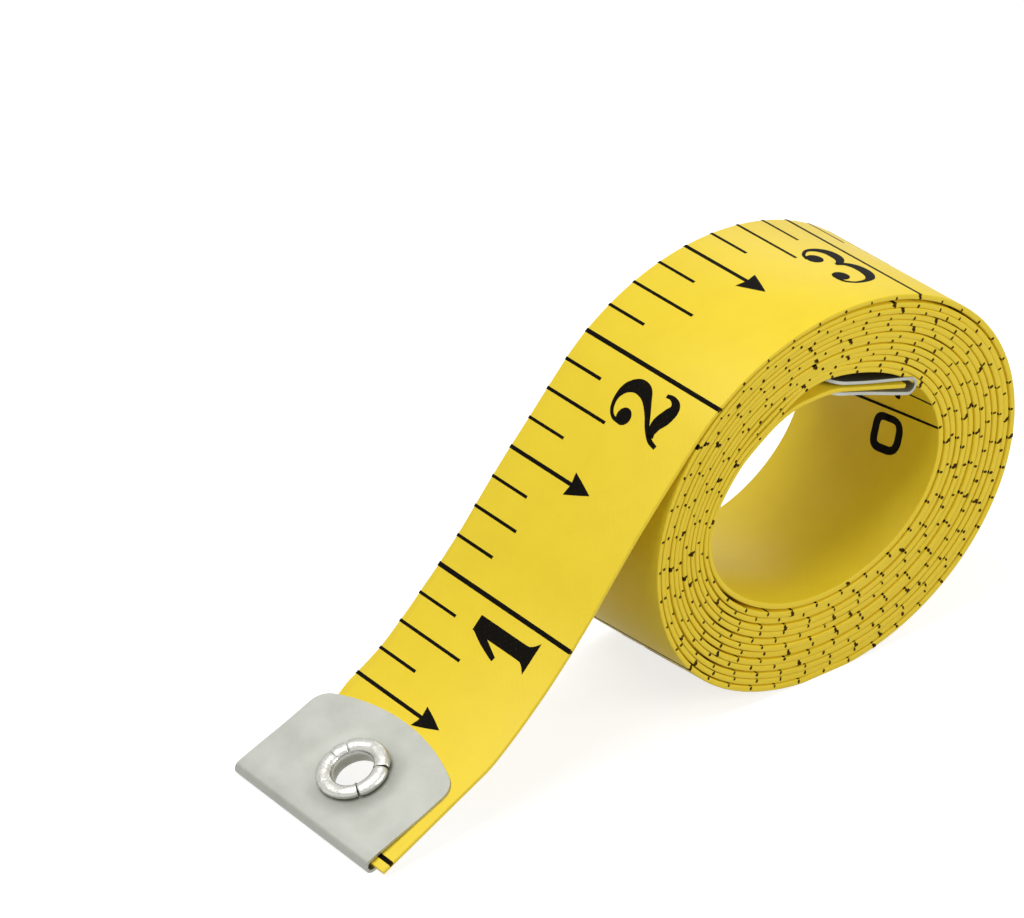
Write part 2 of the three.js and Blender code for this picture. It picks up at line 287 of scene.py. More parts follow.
def slip(length):
    """How far to the far side the tape lies at a length."""
    on_roll = ease((length - LEAVE_AT - SLIP_FROM) / SLIP_OVER)
    on_roll *= 1 - ease((length - TAPE_LENGTH + SLIP_FROM) / SLIP_OVER)
    wave = math.sin(length / SLIP_WAVES[0]) * math.sin(length / SLIP_WAVES[1])
    return float(np.interp(length, *ASKEW)) + SLIP * wave * on_roll


fullness, splay = np.ones(len(side_line)), np.zeros(len(side_line))
for place, angle in enumerate(roll_angles, ON_ROLL):
    turns = (LEAVE_ANGLE - angle) / 360
    started = ease(turns * 6) * ease((TURNS - turns) * 6)
    room = (local_pitch(angle) - LEAST_GAP) / THICK
    fullness[place] = 1 + (min(max(room, 1.0), FULLEST) - 1) * started
    out = (hill(angle, *SPLAY["bottom"]) + hill(angle, *SPLAY["right"])) * (turns / TURNS) ** 1.5
    out += hill(angle, *SPLAY["lower_left"]) * ease((turns - 0.3) * 5) * (1 - ease(turns / 7))
    splay[place] = min(out, side_line[place][1] - LOWEST)
for place in range(OFF_ROLL, len(side_line)):
    run = run_length[place] - ROLL_END_AT
    splay[place] = INNER_SPLAY * ease(run / SPLAY_GROWS) * (1 - ease((run - SPLAY_HELD) / SPLAY_GOES))
tape_path = path_curve("tape_path", side_line, [slip(length) for length in run_length], fullness, splay)
print("path points", len(side_line), "fullest", round(float(fullness.max()), 2))

# %% [markdown]
# ## Tools for building node trees
# Geometry Nodes and shader trees are written here as code, so that the same tree can be made again from
# nothing. Short helpers keep that readable: one adds a node with its settings and inputs, one opens a group
# with named sockets, and the others are named after the node that they add or what it is for.

# %% Tree helpers
SOCKET_KINDS = {float: "Float", int: "Int", bool: "Bool"}


def add(tree, kind, inputs=None, **settings):
    """A node with its settings made and its inputs filled with values or with other nodes' outputs."""
    made = tree.nodes.new(kind)
    for name, value in settings.items():
        setattr(made, name, value)
    for key, value in (inputs or {}).items():
        socket = made.inputs[key]
        if isinstance(value, bpy.types.NodeSocket):
            tree.links.new(value, socket)
        else:
            socket.default_value = value
    return made


def result(tree, kind, inputs=None, **settings):
    """The first output of a new node."""
    return add(tree, kind, inputs, **settings).outputs[0]


def open_group(name, kind, takes, gives):
    """A node group. Each socket is given as its first value, or as the kind of what it carries.

    Returns the tree, the sockets that its inputs come from and the sockets that its results go to.
    """
    tree = bpy.data.node_groups.new(name, kind)
    for in_out, sockets in (("INPUT", takes), ("OUTPUT", gives)):
        for label, value in sockets.items():
            carried = SOCKET_KINDS.get(type(value), value)
            socket = tree.interface.new_socket(label, in_out=in_out, socket_type="NodeSocket" + carried)
            if carried is not value:
                socket.default_value = value
    return tree, add(tree, "NodeGroupInput").outputs, add(tree, "NodeGroupOutput").inputs


def of_type(sockets, kind):
    """The first socket of a type: a node can have sockets of one name for several types."""
    return next(socket for socket in sockets if socket.type == kind)


def maths(tree, operation, *values):
    """The output of a Math node."""
    return result(tree, "ShaderNodeMath", dict(enumerate(values)), operation=operation)


def times(tree, first, second):
    """One value times another."""
    return maths(tree, "MULTIPLY", first, second)


def vectors(tree, operation, *values, **named):
    """The output of a Vector Math node."""
    return result(tree, "ShaderNodeVectorMath", {**dict(enumerate(values)), **named}, operation=operation)


def xyz(tree, **parts):
    """A vector made of its named parts, the others 0."""
    return result(tree, "ShaderNodeCombineXYZ", parts)


def in_mm(tree, place):
    """A place in millimetres."""
    return vectors(tree, "SCALE", place, Scale=1 / MM)


def parts_of(tree, vector):
    """The X, Y and Z of a vector."""
    return add(tree, "ShaderNodeSeparateXYZ", {0: vector}).outputs


def swing(tree, low, high, seed):
    """A random number between two values, with a fixed seed."""
    made = add(tree, "FunctionNodeRandomValue", {"Seed": seed}, data_type="FLOAT")
    floats = [socket for socket in made.inputs if socket.type == "VALUE"]
    floats[0].default_value, floats[1].default_value = low, high
    return of_type(made.outputs, "VALUE")


def pick(tree, flag, when_true, otherwise):
    """otherwise where flag is 0, and when_true where it is 1."""
    return maths(tree, "MULTIPLY_ADD", flag, maths(tree, "SUBTRACT", when_true, otherwise), otherwise)


def finish_group(tree, geometry, material, out):
    """End a geometry tree: real geometry in its material."""
    real = result(tree, "GeometryNodeRealizeInstances", {"Geometry": geometry})
    dressed = result(tree, "GeometryNodeSetMaterial", {"Geometry": real, "Material": material})
    tree.links.new(dressed, out["Geometry"])
    print("tree", tree.name, "of", len(tree.nodes), "nodes")


def mesh_as_shown(thing):
    """The mesh of an object with its modifiers applied."""
    bpy.context.view_layer.update()
    graph = bpy.context.evaluated_depsgraph_get()
    return bpy.data.meshes.new_from_object(thing.evaluated_get(graph), depsgraph=graph)


def run_tree(name, tree, values, start=None):
    """A plain mesh made by a tree, from an object or from nothing, with the tree's inputs set by name."""
    holder = start or place_object(name + "_holder", bpy.data.meshes.new(name))
    modifier = holder.modifiers.new(name, "NODES")
    modifier.node_group = tree
    for item in tree.interface.items_tree:
        if item.item_type == "SOCKET" and item.in_out == "INPUT" and item.name in values:
            modifier[item.identifier] = values[item.name]
    mesh = mesh_as_shown(holder)
    mesh.name = name
    bpy.data.objects.remove(holder)
    return place_object(name, mesh)


# %% [markdown]
# ## Laying flat things along the path
# Everything on this object starts flat: x runs along the strip, y across it and z out of its face. This
# tree bends it. For each vertex it asks the path for its point and direction at that length, and puts the
# vertex at the same distance across and out. The flat place is kept as an attribute, so that weave and
# stains in the material follow the cloth round the roll.

# %% The tree that lays a flat mesh along a path
MADE = {"Geometry": "Geometry"}
wrap, given, out = open_group("lay_along_path", "GeometryNodeTree", {
    "Geometry": "Geometry", "Path": "Object", "Material": "Material"}, MADE)
flat_place = result(wrap, "GeometryNodeInputPosition")
flat_axes = parts_of(wrap, flat_place)
path_source = add(wrap, "GeometryNodeObjectInfo", {"Object": given["Path"]}, transform_space="ORIGINAL")
drawn_as = xyz(wrap, X=result(wrap, "GeometryNodeInputRadius"), Y=result(wrap, "GeometryNodeInputCurveTilt"))
sampled = add(wrap, "GeometryNodeSampleCurve", {
    "Curves": path_source.outputs["Geometry"], "Length": flat_axes["X"]},
    mode="LENGTH", use_all_curves=True, data_type="FLOAT_VECTOR")
wrap.links.new(drawn_as, of_type(sampled.inputs, "VECTOR"))
drawn_as = parts_of(wrap, of_type(sampled.outputs, "VECTOR"))
far_share = maths(wrap, "MULTIPLY_ADD", flat_axes["Y"], 1 / (WIDTH * MM), 0.5)
rise = times(wrap, times(wrap, far_share, drawn_as["Y"]), MM)
rise = maths(wrap, "MULTIPLY_ADD", flat_axes["Z"], drawn_as["X"], rise)
outward = vectors(wrap, "CROSS_PRODUCT", sampled.outputs["Tangent"], (0, 1, 0))
outward = vectors(wrap, "SCALE", vectors(wrap, "NORMALIZE", outward), Scale=rise)
laid = vectors(wrap, "ADD", sampled.outputs["Position"], xyz(wrap, Y=flat_axes["Y"]))
laid = vectors(wrap, "ADD", laid, outward)
kept = result(wrap, "GeometryNodeStoreNamedAttribute", {
    "Geometry": given["Geometry"], "Name": "flat", "Value": flat_place},
    data_type="FLOAT_VECTOR", domain="POINT")
bent = result(wrap, "GeometryNodeSetPosition", {"Geometry": kept, "Position": laid})
finish_group(wrap, bent, given["Material"], out)

# %% [markdown]
# ## The strip
# The strip is a rectangle with slightly soft corners, drawn along a straight line and cut into short steps
# so that it can bend. It is sliced where a body of the frame ends, so that each piece lies on one body or
# crosses one joint. The slices meet face to face and share their place, so the joints don't show.

# %% The tree for a flat strip
strip, given, out = open_group("flat_strip", "GeometryNodeTree", {
    "Start": 0.0, "End": 0.02, "Step": 0.0005, "Width": WIDTH * MM, "Thickness": THICK * MM,
    "Corner": 0.00009, "Material": "Material"}, MADE)
line = result(strip, "GeometryNodeCurvePrimitiveLine", {
    "Start": xyz(strip, X=given["Start"]), "End": xyz(strip, X=given["End"])})
line = result(strip, "GeometryNodeResampleCurve", {"Curve": line, "Length": given["Step"]}, mode="LENGTH")
section = result(strip, "GeometryNodeCurvePrimitiveQuadrilateral", {
    "Width": given["Width"], "Height": given["Thickness"]})
section = result(strip, "GeometryNodeFilletCurve", {
    "Curve": section, "Radius": given["Corner"], "Count": 2}, mode="POLY")
drawn = result(strip, "GeometryNodeCurveToMesh", {"Curve": line, "Profile Curve": section, "Fill Caps": True})
finish_group(strip, drawn, given["Material"], out)

# %% The slices of the tape
SEAM_AT = ROLL_END_AT - 2
INNER_BEND_AT = ROLL_END_AT + 6.0
# name, where it ends in mm from the tip, body before and after, the joint's place along the tape, frame node
SLICES = [
    ("tape_in_end_clip", 20.9, ("end", "foot"), END_RUN, "tape_end"),
    ("tape_foot_bend", 40.7, ("foot", "drop"), END_RUN + FOOT_RUN, "tape_foot"),
    ("tape_drop_bend", 56.3, ("drop", "shoulder"), LEAVE_AT, "tape_drop"),
    ("tape_shoulder_bend", 69.2, ("shoulder", "top"), SHOULDER_AT, "tape_shoulder"),
    ("tape_top_bend", 84.9, ("top", "roll"), PEEL_AT, "tape_top"),
    ("tape_rolled", SEAM_AT, ("roll",), None, "tape_roll"),
    ("tape_in_inner_clip", TAPE_LENGTH, ("roll", "inner_end"), INNER_BEND_AT, "inner_tape_end"),
]


def follow(piece, bodies):
    """A piece of the tape rides on its body; a piece across a joint has its place baked into its mesh and
    rides on no body.
    """
    if len(bodies) == 1:
        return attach(piece, bodies[0])
    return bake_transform(piece)


print("slices end at", [round(row[1], 1) for row in SLICES])

# %% [markdown]
# ## Finishes
# The tape is cloth under a soft coat: yellow, a little uneven, with the threads just showing. The print
# is thin ink, broken where the threads stand up. Both need the same weave, so the weave is a group.


# %% Material helpers
def new_material(name):
    """An empty material and its tree."""
    made = bpy.data.materials.new(name)
    made.use_nodes = True
    made.node_tree.nodes.clear()
    return made, made.node_tree


def end_material(tree, inputs):
    """End a material in one surface."""
    surface = result(tree, "ShaderNodeBsdfPrincipled", inputs)
    add(tree, "ShaderNodeOutputMaterial", {"Surface": surface})
    print("material of", len(tree.nodes), "nodes")


def kept_value(tree, name, output="Fac"):
    """A value that is kept on the vertices."""
    return add(tree, "ShaderNodeAttribute", attribute_name=name).outputs[output]


def noise(tree, place, scale, detail, roughness=0.5, output="Fac"):
    """Soft random cloud."""
    return add(tree, "ShaderNodeTexNoise", {
        "Vector": place, "Scale": scale, "Detail": detail, "Roughness": roughness}).outputs[output]


def mix(tree, share, first, second):
    """A colour between two others, each an output or red, green and blue."""
    first, second = [(*colour, 1) if isinstance(colour, tuple) else colour for colour in (first, second)]
    inputs = {"Factor": share, "A": first, "B": second}
    return add(tree, "ShaderNodeMix", inputs, data_type="RGBA").outputs["Result"]


def remap(tree, value, low, high):
    """0 at a low value and below, 1 at a high one and above."""
    return result(tree, "ShaderNodeMapRange", {"Value": value, "From Min": low, "From Max": high})


def bump(tree, height, strength, distance):
    """A normal roughened by a height."""
    return result(tree, "ShaderNodeBump", {"Height": height, "Strength": strength, "Distance": distance})


# %% Shader groups for threads, and for handling marks that on the eyelet are painted dark reflections
weave, given, out = open_group("threads", "ShaderNodeTree", {
    "Place": "Vector", "Threads": 2.6}, {"Height": "Float"})
place = in_mm(weave, given["Place"])
wander = vectors(weave, "SCALE", noise(weave, place, 0.9, 2.0, output="Color"), Scale=0.16)
axes = parts_of(weave, vectors(weave, "ADD", place, wander))
waves = []
for label in ("X", "Y"):
    turned = times(weave, times(weave, axes[label], given["Threads"]), math.pi)
    waves.append(maths(weave, "SINE", turned))
weave.links.new(maths(weave, "MULTIPLY_ADD", times(weave, *waves), 0.5, 0.5), out["Height"])

# blotches: handling marks on the tape and the clips, and painted dark reflections on the eyelet
marks_and_reflections, given, out = open_group("handling_marks_and_painted_reflections", "ShaderNodeTree", {
    "Place": "Vector", "Size": 0.25, "Share": 0.4}, {"Mask": "Float", "Cloud": "Float"})
place = in_mm(marks_and_reflections, given["Place"])
cloud = noise(marks_and_reflections, place, given["Size"], 5.0, 0.6)
specks = noise(marks_and_reflections, place, times(marks_and_reflections, given["Size"], 7.0), 4.0)
low = maths(marks_and_reflections, "SUBTRACT", 0.62, times(marks_and_reflections, given["Share"], 0.4))
marks_and_reflections.links.new(remap(marks_and_reflections, times(marks_and_reflections, cloud, specks), low, 0.62), out["Mask"])
marks_and_reflections.links.new(cloud, out["Cloud"])
print("threads", len(weave.nodes), "nodes, handling marks", len(marks_and_reflections.nodes))

# %% The yellow tape
tape_yellow, tree = new_material("tape_yellow")
place = kept_value(tree, "flat", "Vector")
threads = result(tree, "ShaderNodeGroup", {"Place": place}, node_tree=weave)
marks = add(tree, "ShaderNodeGroup", {"Place": place}, node_tree=marks_and_reflections).outputs
edge = maths(tree, "ABSOLUTE", parts_of(tree, place)["Y"])
edge = remap(tree, edge, (WIDTH / 2 - 0.08) * MM, (WIDTH / 2 - 0.02) * MM)
tone = mix(tree, marks["Cloud"], (0.82, 0.595, 0.019), (0.90, 0.685, 0.031))
tone = mix(tree, times(tree, marks["Mask"], 0.25), tone, (0.50, 0.42, 0.10))
tone = mix(tree, times(tree, edge, 0.6), tone, (0.81, 0.60, 0.03))
relief = maths(tree, "MULTIPLY_ADD", threads, 0.5, times(tree, marks["Cloud"], 1.2))
end_material(tree, {
    "Base Color": tone, "Roughness": maths(tree, "MULTIPLY_ADD", marks["Cloud"], 0.16, 0.40),
    "Normal": bump(tree, relief, 0.25, 0.00004), "Specular IOR Level": 0.3})

# %% The black print
print_black, tree = new_material("print_black")
place = kept_value(tree, "flat", "Vector")
threads = result(tree, "ShaderNodeGroup", {"Place": place}, node_tree=weave)
grit = noise(tree, in_mm(tree, place), 5.0, 5.0, 0.7)
bare = remap(tree, times(tree, grit, maths(tree, "MULTIPLY_ADD", threads, 0.25, 0.75)), 0.52, 0.66)
tone = mix(tree, times(tree, bare, 0.5), (0.004, 0.003, 0.002), (0.06, 0.045, 0.012))
# where the ink has run into the cut edge it is brown
bled = maths(tree, "ABSOLUTE", parts_of(tree, place)["Y"])
bled = maths(tree, "COMPARE", bled, (WIDTH / 2 + 0.0075) * MM, 0.003 * MM)
tone = mix(tree, times(tree, bled, 0.85), tone, (0.075, 0.033, 0.003))
rough = maths(tree, "MULTIPLY_ADD", grit, 0.2, 0.45)
end_material(tree, {"Base Color": tone, "Roughness": rough, "Specular IOR Level": 0.03})

# %% [markdown]
# ## The printed marks
# An inch scale repeats a few shapes hundreds of times, which is what instances are for. A tree sets a
# point every eighth of an inch and picks a length and a weight for the line from its number: whole inches
# cross the tape, half inches end in an arrow, quarters are longer than eighths. Ink that reaches the cut
# edge of the cloth runs a little way into it, and these dots are what shows on the side of the roll.

# %% Sizes of the print
INCH = 25.4
EIGHTH = INCH / 8
SCALE_START = 1.05
INK_RISE = 0.012
INK_DEPTH = 0.05
# one mark near the start is worn short
WORN_MARK, WORN_BY = 10, 2.4
# how much the marks differ in length, in mm, and in weight, and the share of a bold line's weight at a half
LENGTH_SWING, WEIGHT_SWING, HALF_WEIGHT = 0.06, 0.07, 0.86
# on the back, the least that is clear at the tip, and how far onto the roll its dots start
BACK_CLEAR, DOTS_CLEAR = 3, 2
LAST_LINE_ANGLE = 9.6
last_inch_at = length_of_angle(LAST_LINE_ANGLE - 360 * (TURNS - 1))
print(f"the last inch line of the back lies at {last_inch_at:.1f} mm")


# %% Closed slabs of ink, and the head of an arrow
def mesh_of(name, work):
    """A mesh made of a bmesh, which is let go."""
    mesh = bpy.data.meshes.new(name)
    work.to_mesh(mesh)
    work.free()
    return mesh


def skin(work, grid):
    """Faces over a grid of vertices."""
    for here, there in zip(grid, grid[1:]):
        for k in range(len(here) - 1):
            work.faces.new((here[k], here[k + 1], there[k + 1], there[k]))


def close_slab(work, under, over):
    """All the faces of a slab, from the grids of vertices of its two sides."""
    skin(work, over)
    skin(work, under)
    for row in (0, -1):
        skin(work, (under[row], over[row]))
    for k in (0, -1):
        skin(work, [(low[k], high[k]) for low, high in zip(under, over)])


def slab(work, rows, low, high, columns):
    """A closed slab. Each row is a left and a right point, and is parted into columns so that it can bend."""
    grids = []
    for level in (low, high):
        grids.append([[work.verts.new((*(np.array(left) + (np.array(right) - left) * k / columns), level))
                       for k in range(columns + 1)] for left, right in rows])
    close_slab(work, *grids)


# the arrow at a half inch points away from the edge where the scale starts; its tip is at the origin
HEAD_LENGTH, HEAD_HALF, HEAD_BARB = 2.6, 1.18, 0.25
head_rows = [((-HEAD_HALF * k / 8, HEAD_LENGTH * k / 8), (HEAD_HALF * k / 8, HEAD_LENGTH * k / 8))
             for k in range(9)]
head = bmesh.new()
slab(head, head_rows, 0, INK_RISE + INK_DEPTH, 6)
for vertex in head.verts:
    vertex.co.y += HEAD_BARB * abs(vertex.co.x) / HEAD_HALF * vertex.co.y / HEAD_LENGTH
bmesh.ops.scale(head, vec=(MM, MM, MM), verts=head.verts)
bmesh.ops.recalc_face_normals(head, faces=head.faces)
arrow_head = place_object("arrow_head", mesh_of("arrow_head", head))
print("arrow head", len(arrow_head.data.polygons), "faces")

# %% The tree for a scale: a spot for each eighth, and what is printed there
scale, given, out = open_group("inch_scale", "GeometryNodeTree", {
    "First": 0.0, "Count": 8, "Phase": 0, "Edge": 1.0, "Face": 1.0, "Short": 0.005, "Quarter": 0.0083,
    "Half": 0.0088, "Thin": 0.00032, "Bold": 0.00046, "Arrows": True, "Arrow": "Object", "Arrow Tip": 0.0113,
    "Dots From": 0.0, "Overhang": INK_RISE * MM}, MADE)
spots = result(scale, "GeometryNodeMeshLine", {
    "Count": given["Count"], "Start Location": xyz(scale, X=given["First"]), "Offset": (EIGHTH * MM, 0, 0)})
number = maths(scale, "ADD", result(scale, "GeometryNodeInputIndex"), given["Phase"])
eighth_of = maths(scale, "MODULO", number, 8.0)
is_whole = maths(scale, "COMPARE", eighth_of, 0.0, 0.1)
is_half = maths(scale, "COMPARE", eighth_of, 4.0, 0.1)
is_even = maths(scale, "COMPARE", maths(scale, "MODULO", number, 2.0), 0.0, 0.1)
is_worn = maths(scale, "COMPARE", number, WORN_MARK, 0.1)


def stamp(offset, shape, inputs):
    """A shape on each spot, moved by an offset."""
    moved = result(scale, "GeometryNodeSetPosition", {"Geometry": spots, "Offset": offset})
    return result(scale, "GeometryNodeInstanceOnPoints", {"Points": moved, "Instance": shape, **inputs})


# %% The lines and the arrows of a scale
reach = pick(scale, is_even, given["Quarter"], given["Short"])
reach = pick(scale, is_half, given["Half"], reach)
reach = maths(scale, "ADD", reach, swing(scale, -LENGTH_SWING * MM, LENGTH_SWING * MM, 3))
reach = maths(scale, "MULTIPLY_ADD", is_worn, -WORN_BY * MM, reach)
reach = pick(scale, is_whole, WIDTH * MM, reach)
weight = pick(scale, is_half, times(scale, given["Bold"], HALF_WEIGHT), given["Thin"])
weight = pick(scale, is_whole, given["Bold"], weight)
weight = times(scale, weight, swing(scale, 1 - WEIGHT_SWING, 1 + WEIGHT_SWING, 5))
middle = maths(scale, "ADD", WIDTH / 2 * MM, given["Overhang"])
middle = times(scale, maths(scale, "SUBTRACT", middle, times(scale, reach, 0.5)), given["Edge"])
level = times(scale, given["Face"], (THICK / 2 + (INK_RISE - INK_DEPTH) / 2) * MM)
block = result(scale, "GeometryNodeMeshCube", {"Size": (1, 1, 1)})
lines = stamp(xyz(scale, Y=middle, Z=level), block, {
    "Scale": xyz(scale, X=weight, Y=reach, Z=(INK_RISE + INK_DEPTH) * MM)})

tip_at = maths(scale, "SUBTRACT", WIDTH / 2 * MM, given["Arrow Tip"])
arrow = add(scale, "GeometryNodeObjectInfo", {"Object": given["Arrow"]}, transform_space="ORIGINAL")
heads = stamp(xyz(scale, Y=tip_at, Z=(THICK / 2 - INK_DEPTH) * MM), arrow.outputs["Geometry"], {
    "Selection": times(scale, is_half, given["Arrows"])})

# %% The dots on the cut edges
# how far a dot stands out, its depth in mm, its width as a share of its line's, and its lean in radians
DOT_PROUD, DOT_DEPTH, DOT_WIDTH, DOT_LEAN = 0.016, (0.22, 0.36), (0.85, 1.25), 0.5
depth = times(scale, swing(scale, *DOT_DEPTH, 11), MM)
dot_wide = times(scale, weight, swing(scale, *DOT_WIDTH, 13))
dot_level = maths(scale, "SUBTRACT", (THICK / 2 + INK_RISE / 2) * MM, times(scale, depth, 0.5))
dot_level = times(scale, dot_level, given["Face"])
dot_shape = result(scale, "GeometryNodeMeshCylinder", {"Vertices": 8, "Radius": 0.5, "Depth": 1.0})
dot_shape = result(scale, "GeometryNodeTransform", {"Geometry": dot_shape, "Rotation": (math.pi / 2, 0, 0)})
dot_look = {
    "Rotation": xyz(scale, Y=swing(scale, -DOT_LEAN, DOT_LEAN, 17)),
    "Scale": xyz(scale, X=dot_wide, Y=DOT_PROUD * MM, Z=depth)}
spot_x = parts_of(scale, result(scale, "GeometryNodeInputPosition"))["X"]
has_dot = maths(scale, "GREATER_THAN", spot_x, given["Dots From"])
printed = [lines, heads]
for side, chosen in ((1.0, has_dot), (-1.0, times(scale, has_dot, is_whole))):
    beside = times(scale, given["Edge"], side * WIDTH / 2 * MM)
    printed.append(stamp(xyz(scale, Y=beside, Z=dot_level), dot_shape, {**dot_look, "Selection": chosen}))
joined = add(scale, "GeometryNodeJoinGeometry")
for part in printed:
    scale.links.new(part, joined.inputs[0])
finish_group(scale, joined.outputs[0], print_black, out)

# %% The scales of both faces
front_marks = run_tree("front_marks", scale, {
    "First": SCALE_START * MM, "Count": int((TAPE_LENGTH - SCALE_START) / EIGHTH), "Arrow": arrow_head})
back_count = int((last_inch_at - BACK_CLEAR) / EIGHTH)
back_marks = run_tree("back_marks", scale, {
    "First": (last_inch_at - back_count * EIGHTH) * MM, "Count": back_count + 1, "Phase": 8 - back_count % 8,
    "Edge": -1.0, "Face": -1.0, "Short": 0.0031, "Quarter": 0.0050, "Half": 0.0062, "Thin": 0.00030,
    "Bold": 0.00028, "Arrows": False, "Arrow": arrow_head, "Dots From": (LEAVE_AT + DOTS_CLEAR) * MM,
    "Overhang": -0.08 * MM})
print("marks", len(front_marks.data.polygons), "faces in front,", len(back_marks.data.polygons), "behind")

# %% [markdown]
# ## The numbers
# No font on this machine has these figures, and a part of this kind should carry its own. A broad pen
# gives the fat and thin strokes of the front, a round one the even strokes of the back. Each figure is a
# few pen lines, given as points with the width of the stroke, and some round blots.

# %% Figures in pen strokes: (right, up, width of stroke) in mm, and blots as (right, up, radius)
FAT = {
    "0": ([[(2.5, 7.5, .45), (4, 6.2, 1.25), (4.3, 3.9, 1.45), (4, 1.6, 1.25), (2.5, .3, .45),
            (1, 1.6, 1.25), (.7, 3.9, 1.45), (1, 6.2, 1.25), (2.5, 7.5, .45)]], []),
    "1": ([[(3.6, 7.75, 1.6), (3.6, 5, 1.6), (3.6, 1.5, 1.6), (3.6, .9, 1.8), (3.6, .5, 2.3), (3.6, 0, 3.3)],
           [(3.2, 7.45, .8), (2.45, 5.9, .8), (1.75, 4.2, .55), (1.65, 3.8, .45)]], []),
    "2": ([[(.55, 5.6, .5), (.62, 6.5, .36), (1.3, 7.2, .4), (2.4, 7.42, .55), (3.5, 7, 1.05),
            (4.15, 6, 1.42), (4.05, 4.9, 1.42), (3.35, 4, .95), (2.4, 3.15, .66), (1.3, 2.3, .5),
            (.5, 1.3, .5), (.2, .3, .42)],
           [(.7, 1.3, .5), (1.2, 1.62, .9), (2.1, 1.6, 1.35), (3, 1.15, 1.5), (3.9, .85, 1.25),
            (4.5, 1.1, .85), (4.8, 1.8, .5), (4.72, 2.5, .36)]], [(1.15, 5.45, .86)]),
    "3": ([[(.5, 6.2, .4), (.85, 7.1, .34), (1.8, 7.75, .4), (2.9, 7.6, .8), (3.75, 6.9, 1.3),
            (3.85, 5.9, 1.35), (3.4, 4.9, .85), (2.5, 4.25, .36)],
           [(2.3, 4.3, .36), (3.3, 4.1, .7), (4.05, 3.3, 1.3), (4.15, 2.2, 1.4), (3.6, 1, 1), (2.6, .35, .5),
            (1.3, .3, .34), (.4, .9, .34), (.15, 1.8, .34)]], [(1.25, 6, .84), (.85, 2, .84)]),
    "4": ([[(3.6, 7.7, 1.3), (3.6, 4, 1.4), (3.6, .9, 1.4), (3.6, .45, 1.9), (3.6, 0, 2.9)],
           [(3.2, 7.5, .5), (1.8, 5, .42), (.25, 2.3, .42)], [(.1, 2.2, .42), (5, 2.2, .42)]], []),
    "5": ([[(1.1, 7.3, .5), (2.2, 7.05, 1), (3.4, 7, 1), (4.5, 7.5, .36)], [(1.1, 7.4, .4), (.95, 4.1, .4)],
           [(.95, 4.2, .36), (2.2, 4.95, .5), (3.6, 4.5, 1.15), (4.25, 3, 1.45), (3.8, 1.2, 1.1),
            (2.6, .35, .5), (1.2, .4, .34), (.45, 1.3, .34)]], [(1.1, 1.8, .8)]),
    "6": ([[(4.3, 6.2, .36), (3.9, 7.3, .36), (2.8, 7.5, .5), (1.6, 6.5, 1.1), (.95, 4.6, 1.45),
            (1, 2.4, 1.4), (1.7, .8, .9), (2.7, .3, .5), (3.7, .9, .95), (4.2, 2.4, 1.4), (3.8, 3.8, 1),
            (2.8, 4.55, .5), (1.6, 3.9, .36)]], [(3.7, 6.2, .76)]),
    "7": ([[(.4, 5.3, .36), (.6, 6.8, .7), (1.6, 7.1, 1.2), (2.8, 6.8, 1.1), (3.9, 6.9, .6),
            (4.8, 7.6, .36)],
           [(4.75, 7.4, .4), (3.7, 5.2, .7), (2.7, 3.2, 1.25), (2.3, 1.4, 1.5), (2.3, .3, 1.5)]], []),
    "8": ([[(2.5, 7.55, .42), (3.7, 6.9, 1), (3.8, 5.6, 1.1), (2.5, 4.3, .8), (1.1, 3.1, 1.1),
            (.85, 1.7, 1.1), (1.6, .6, .7), (2.6, .3, .42), (3.9, .9, 1.1), (4.15, 2.3, 1.3),
            (3.1, 3.8, .9), (1.5, 5, 1.1), (1.2, 6.4, 1), (2.5, 7.55, .42)]], []),
}
FAT["9"] = ([[(5 - u, 7.8 - v, w) for u, v, w in line] for line in FAT["6"][0]],
            [(5 - u, 7.8 - v, r) for u, v, r in FAT["6"][1]])
EVEN = {
    "0": [[(.4, 1.85), (.42, 2.6), (.7, 3.12), (1.3, 3.35), (2.1, 3.38), (2.9, 3.35), (3.5, 3.12),
           (3.78, 2.6), (3.8, 1.85), (3.78, 1.1), (3.5, .58), (2.9, .35), (2.1, .32), (1.3, .35),
           (.7, .58), (.42, 1.1), (.4, 1.85)]],
    "1": [[(.9, 2.7), (2.3, 3.35), (2.3, .35)]],
    "2": [[(.4, 2.9), (1, 3.35), (3.2, 3.35), (3.8, 2.8), (3.4, 2.1), (.9, 1.3), (.4, .38), (3.85, .38)]],
    "3": [[(.4, 3.1), (1, 3.35), (3.2, 3.35), (3.7, 2.7), (3.2, 1.95), (1.7, 1.9)],
          [(1.7, 1.9), (3.3, 1.85), (3.8, 1.1), (3.2, .35), (1, .35), (.4, .7)]],
    "4": [[(3, .2), (3, 3.3), (2.6, 3.3), (.4, 1.2), (4, 1.2)]],
    "5": [[(3.7, 3.35), (.7, 3.35), (.6, 2), (2.9, 2.15), (3.75, 1.5), (3.4, .45), (2.4, .35), (.9, .35),
           (.4, .7)]],
    "6": [[(3.6, 3.2), (2.8, 3.35), (1.3, 3.35), (.5, 2.9), (.4, 1.6), (.6, .5), (1.5, .35), (3, .35),
           (3.7, .8), (3.7, 1.6), (3, 2.05), (1.4, 2.05), (.5, 1.6)]],
    "7": [[(.4, 3.35), (3.8, 3.35), (2.4, 1.8), (1.8, .3)]],
    "8": [[(2.1, 3.35), (3.3, 3.2), (3.5, 2.5), (2.9, 1.95), (1, 1.8), (.45, 1.1), (.9, .4), (2.1, .35),
           (3.3, .4), (3.75, 1.1), (3.2, 1.8), (1.3, 1.95), (.7, 2.5), (.9, 3.2), (2.1, 3.35)]],
}
EVEN["9"] = [[(4.2 - u, 3.7 - v) for u, v in line] for line in EVEN["6"]]
EVEN_STROKE, EVEN_BLOT = 0.86, 0.43
print("figures", sorted(FAT), "in front and", sorted(EVEN), "on the back")


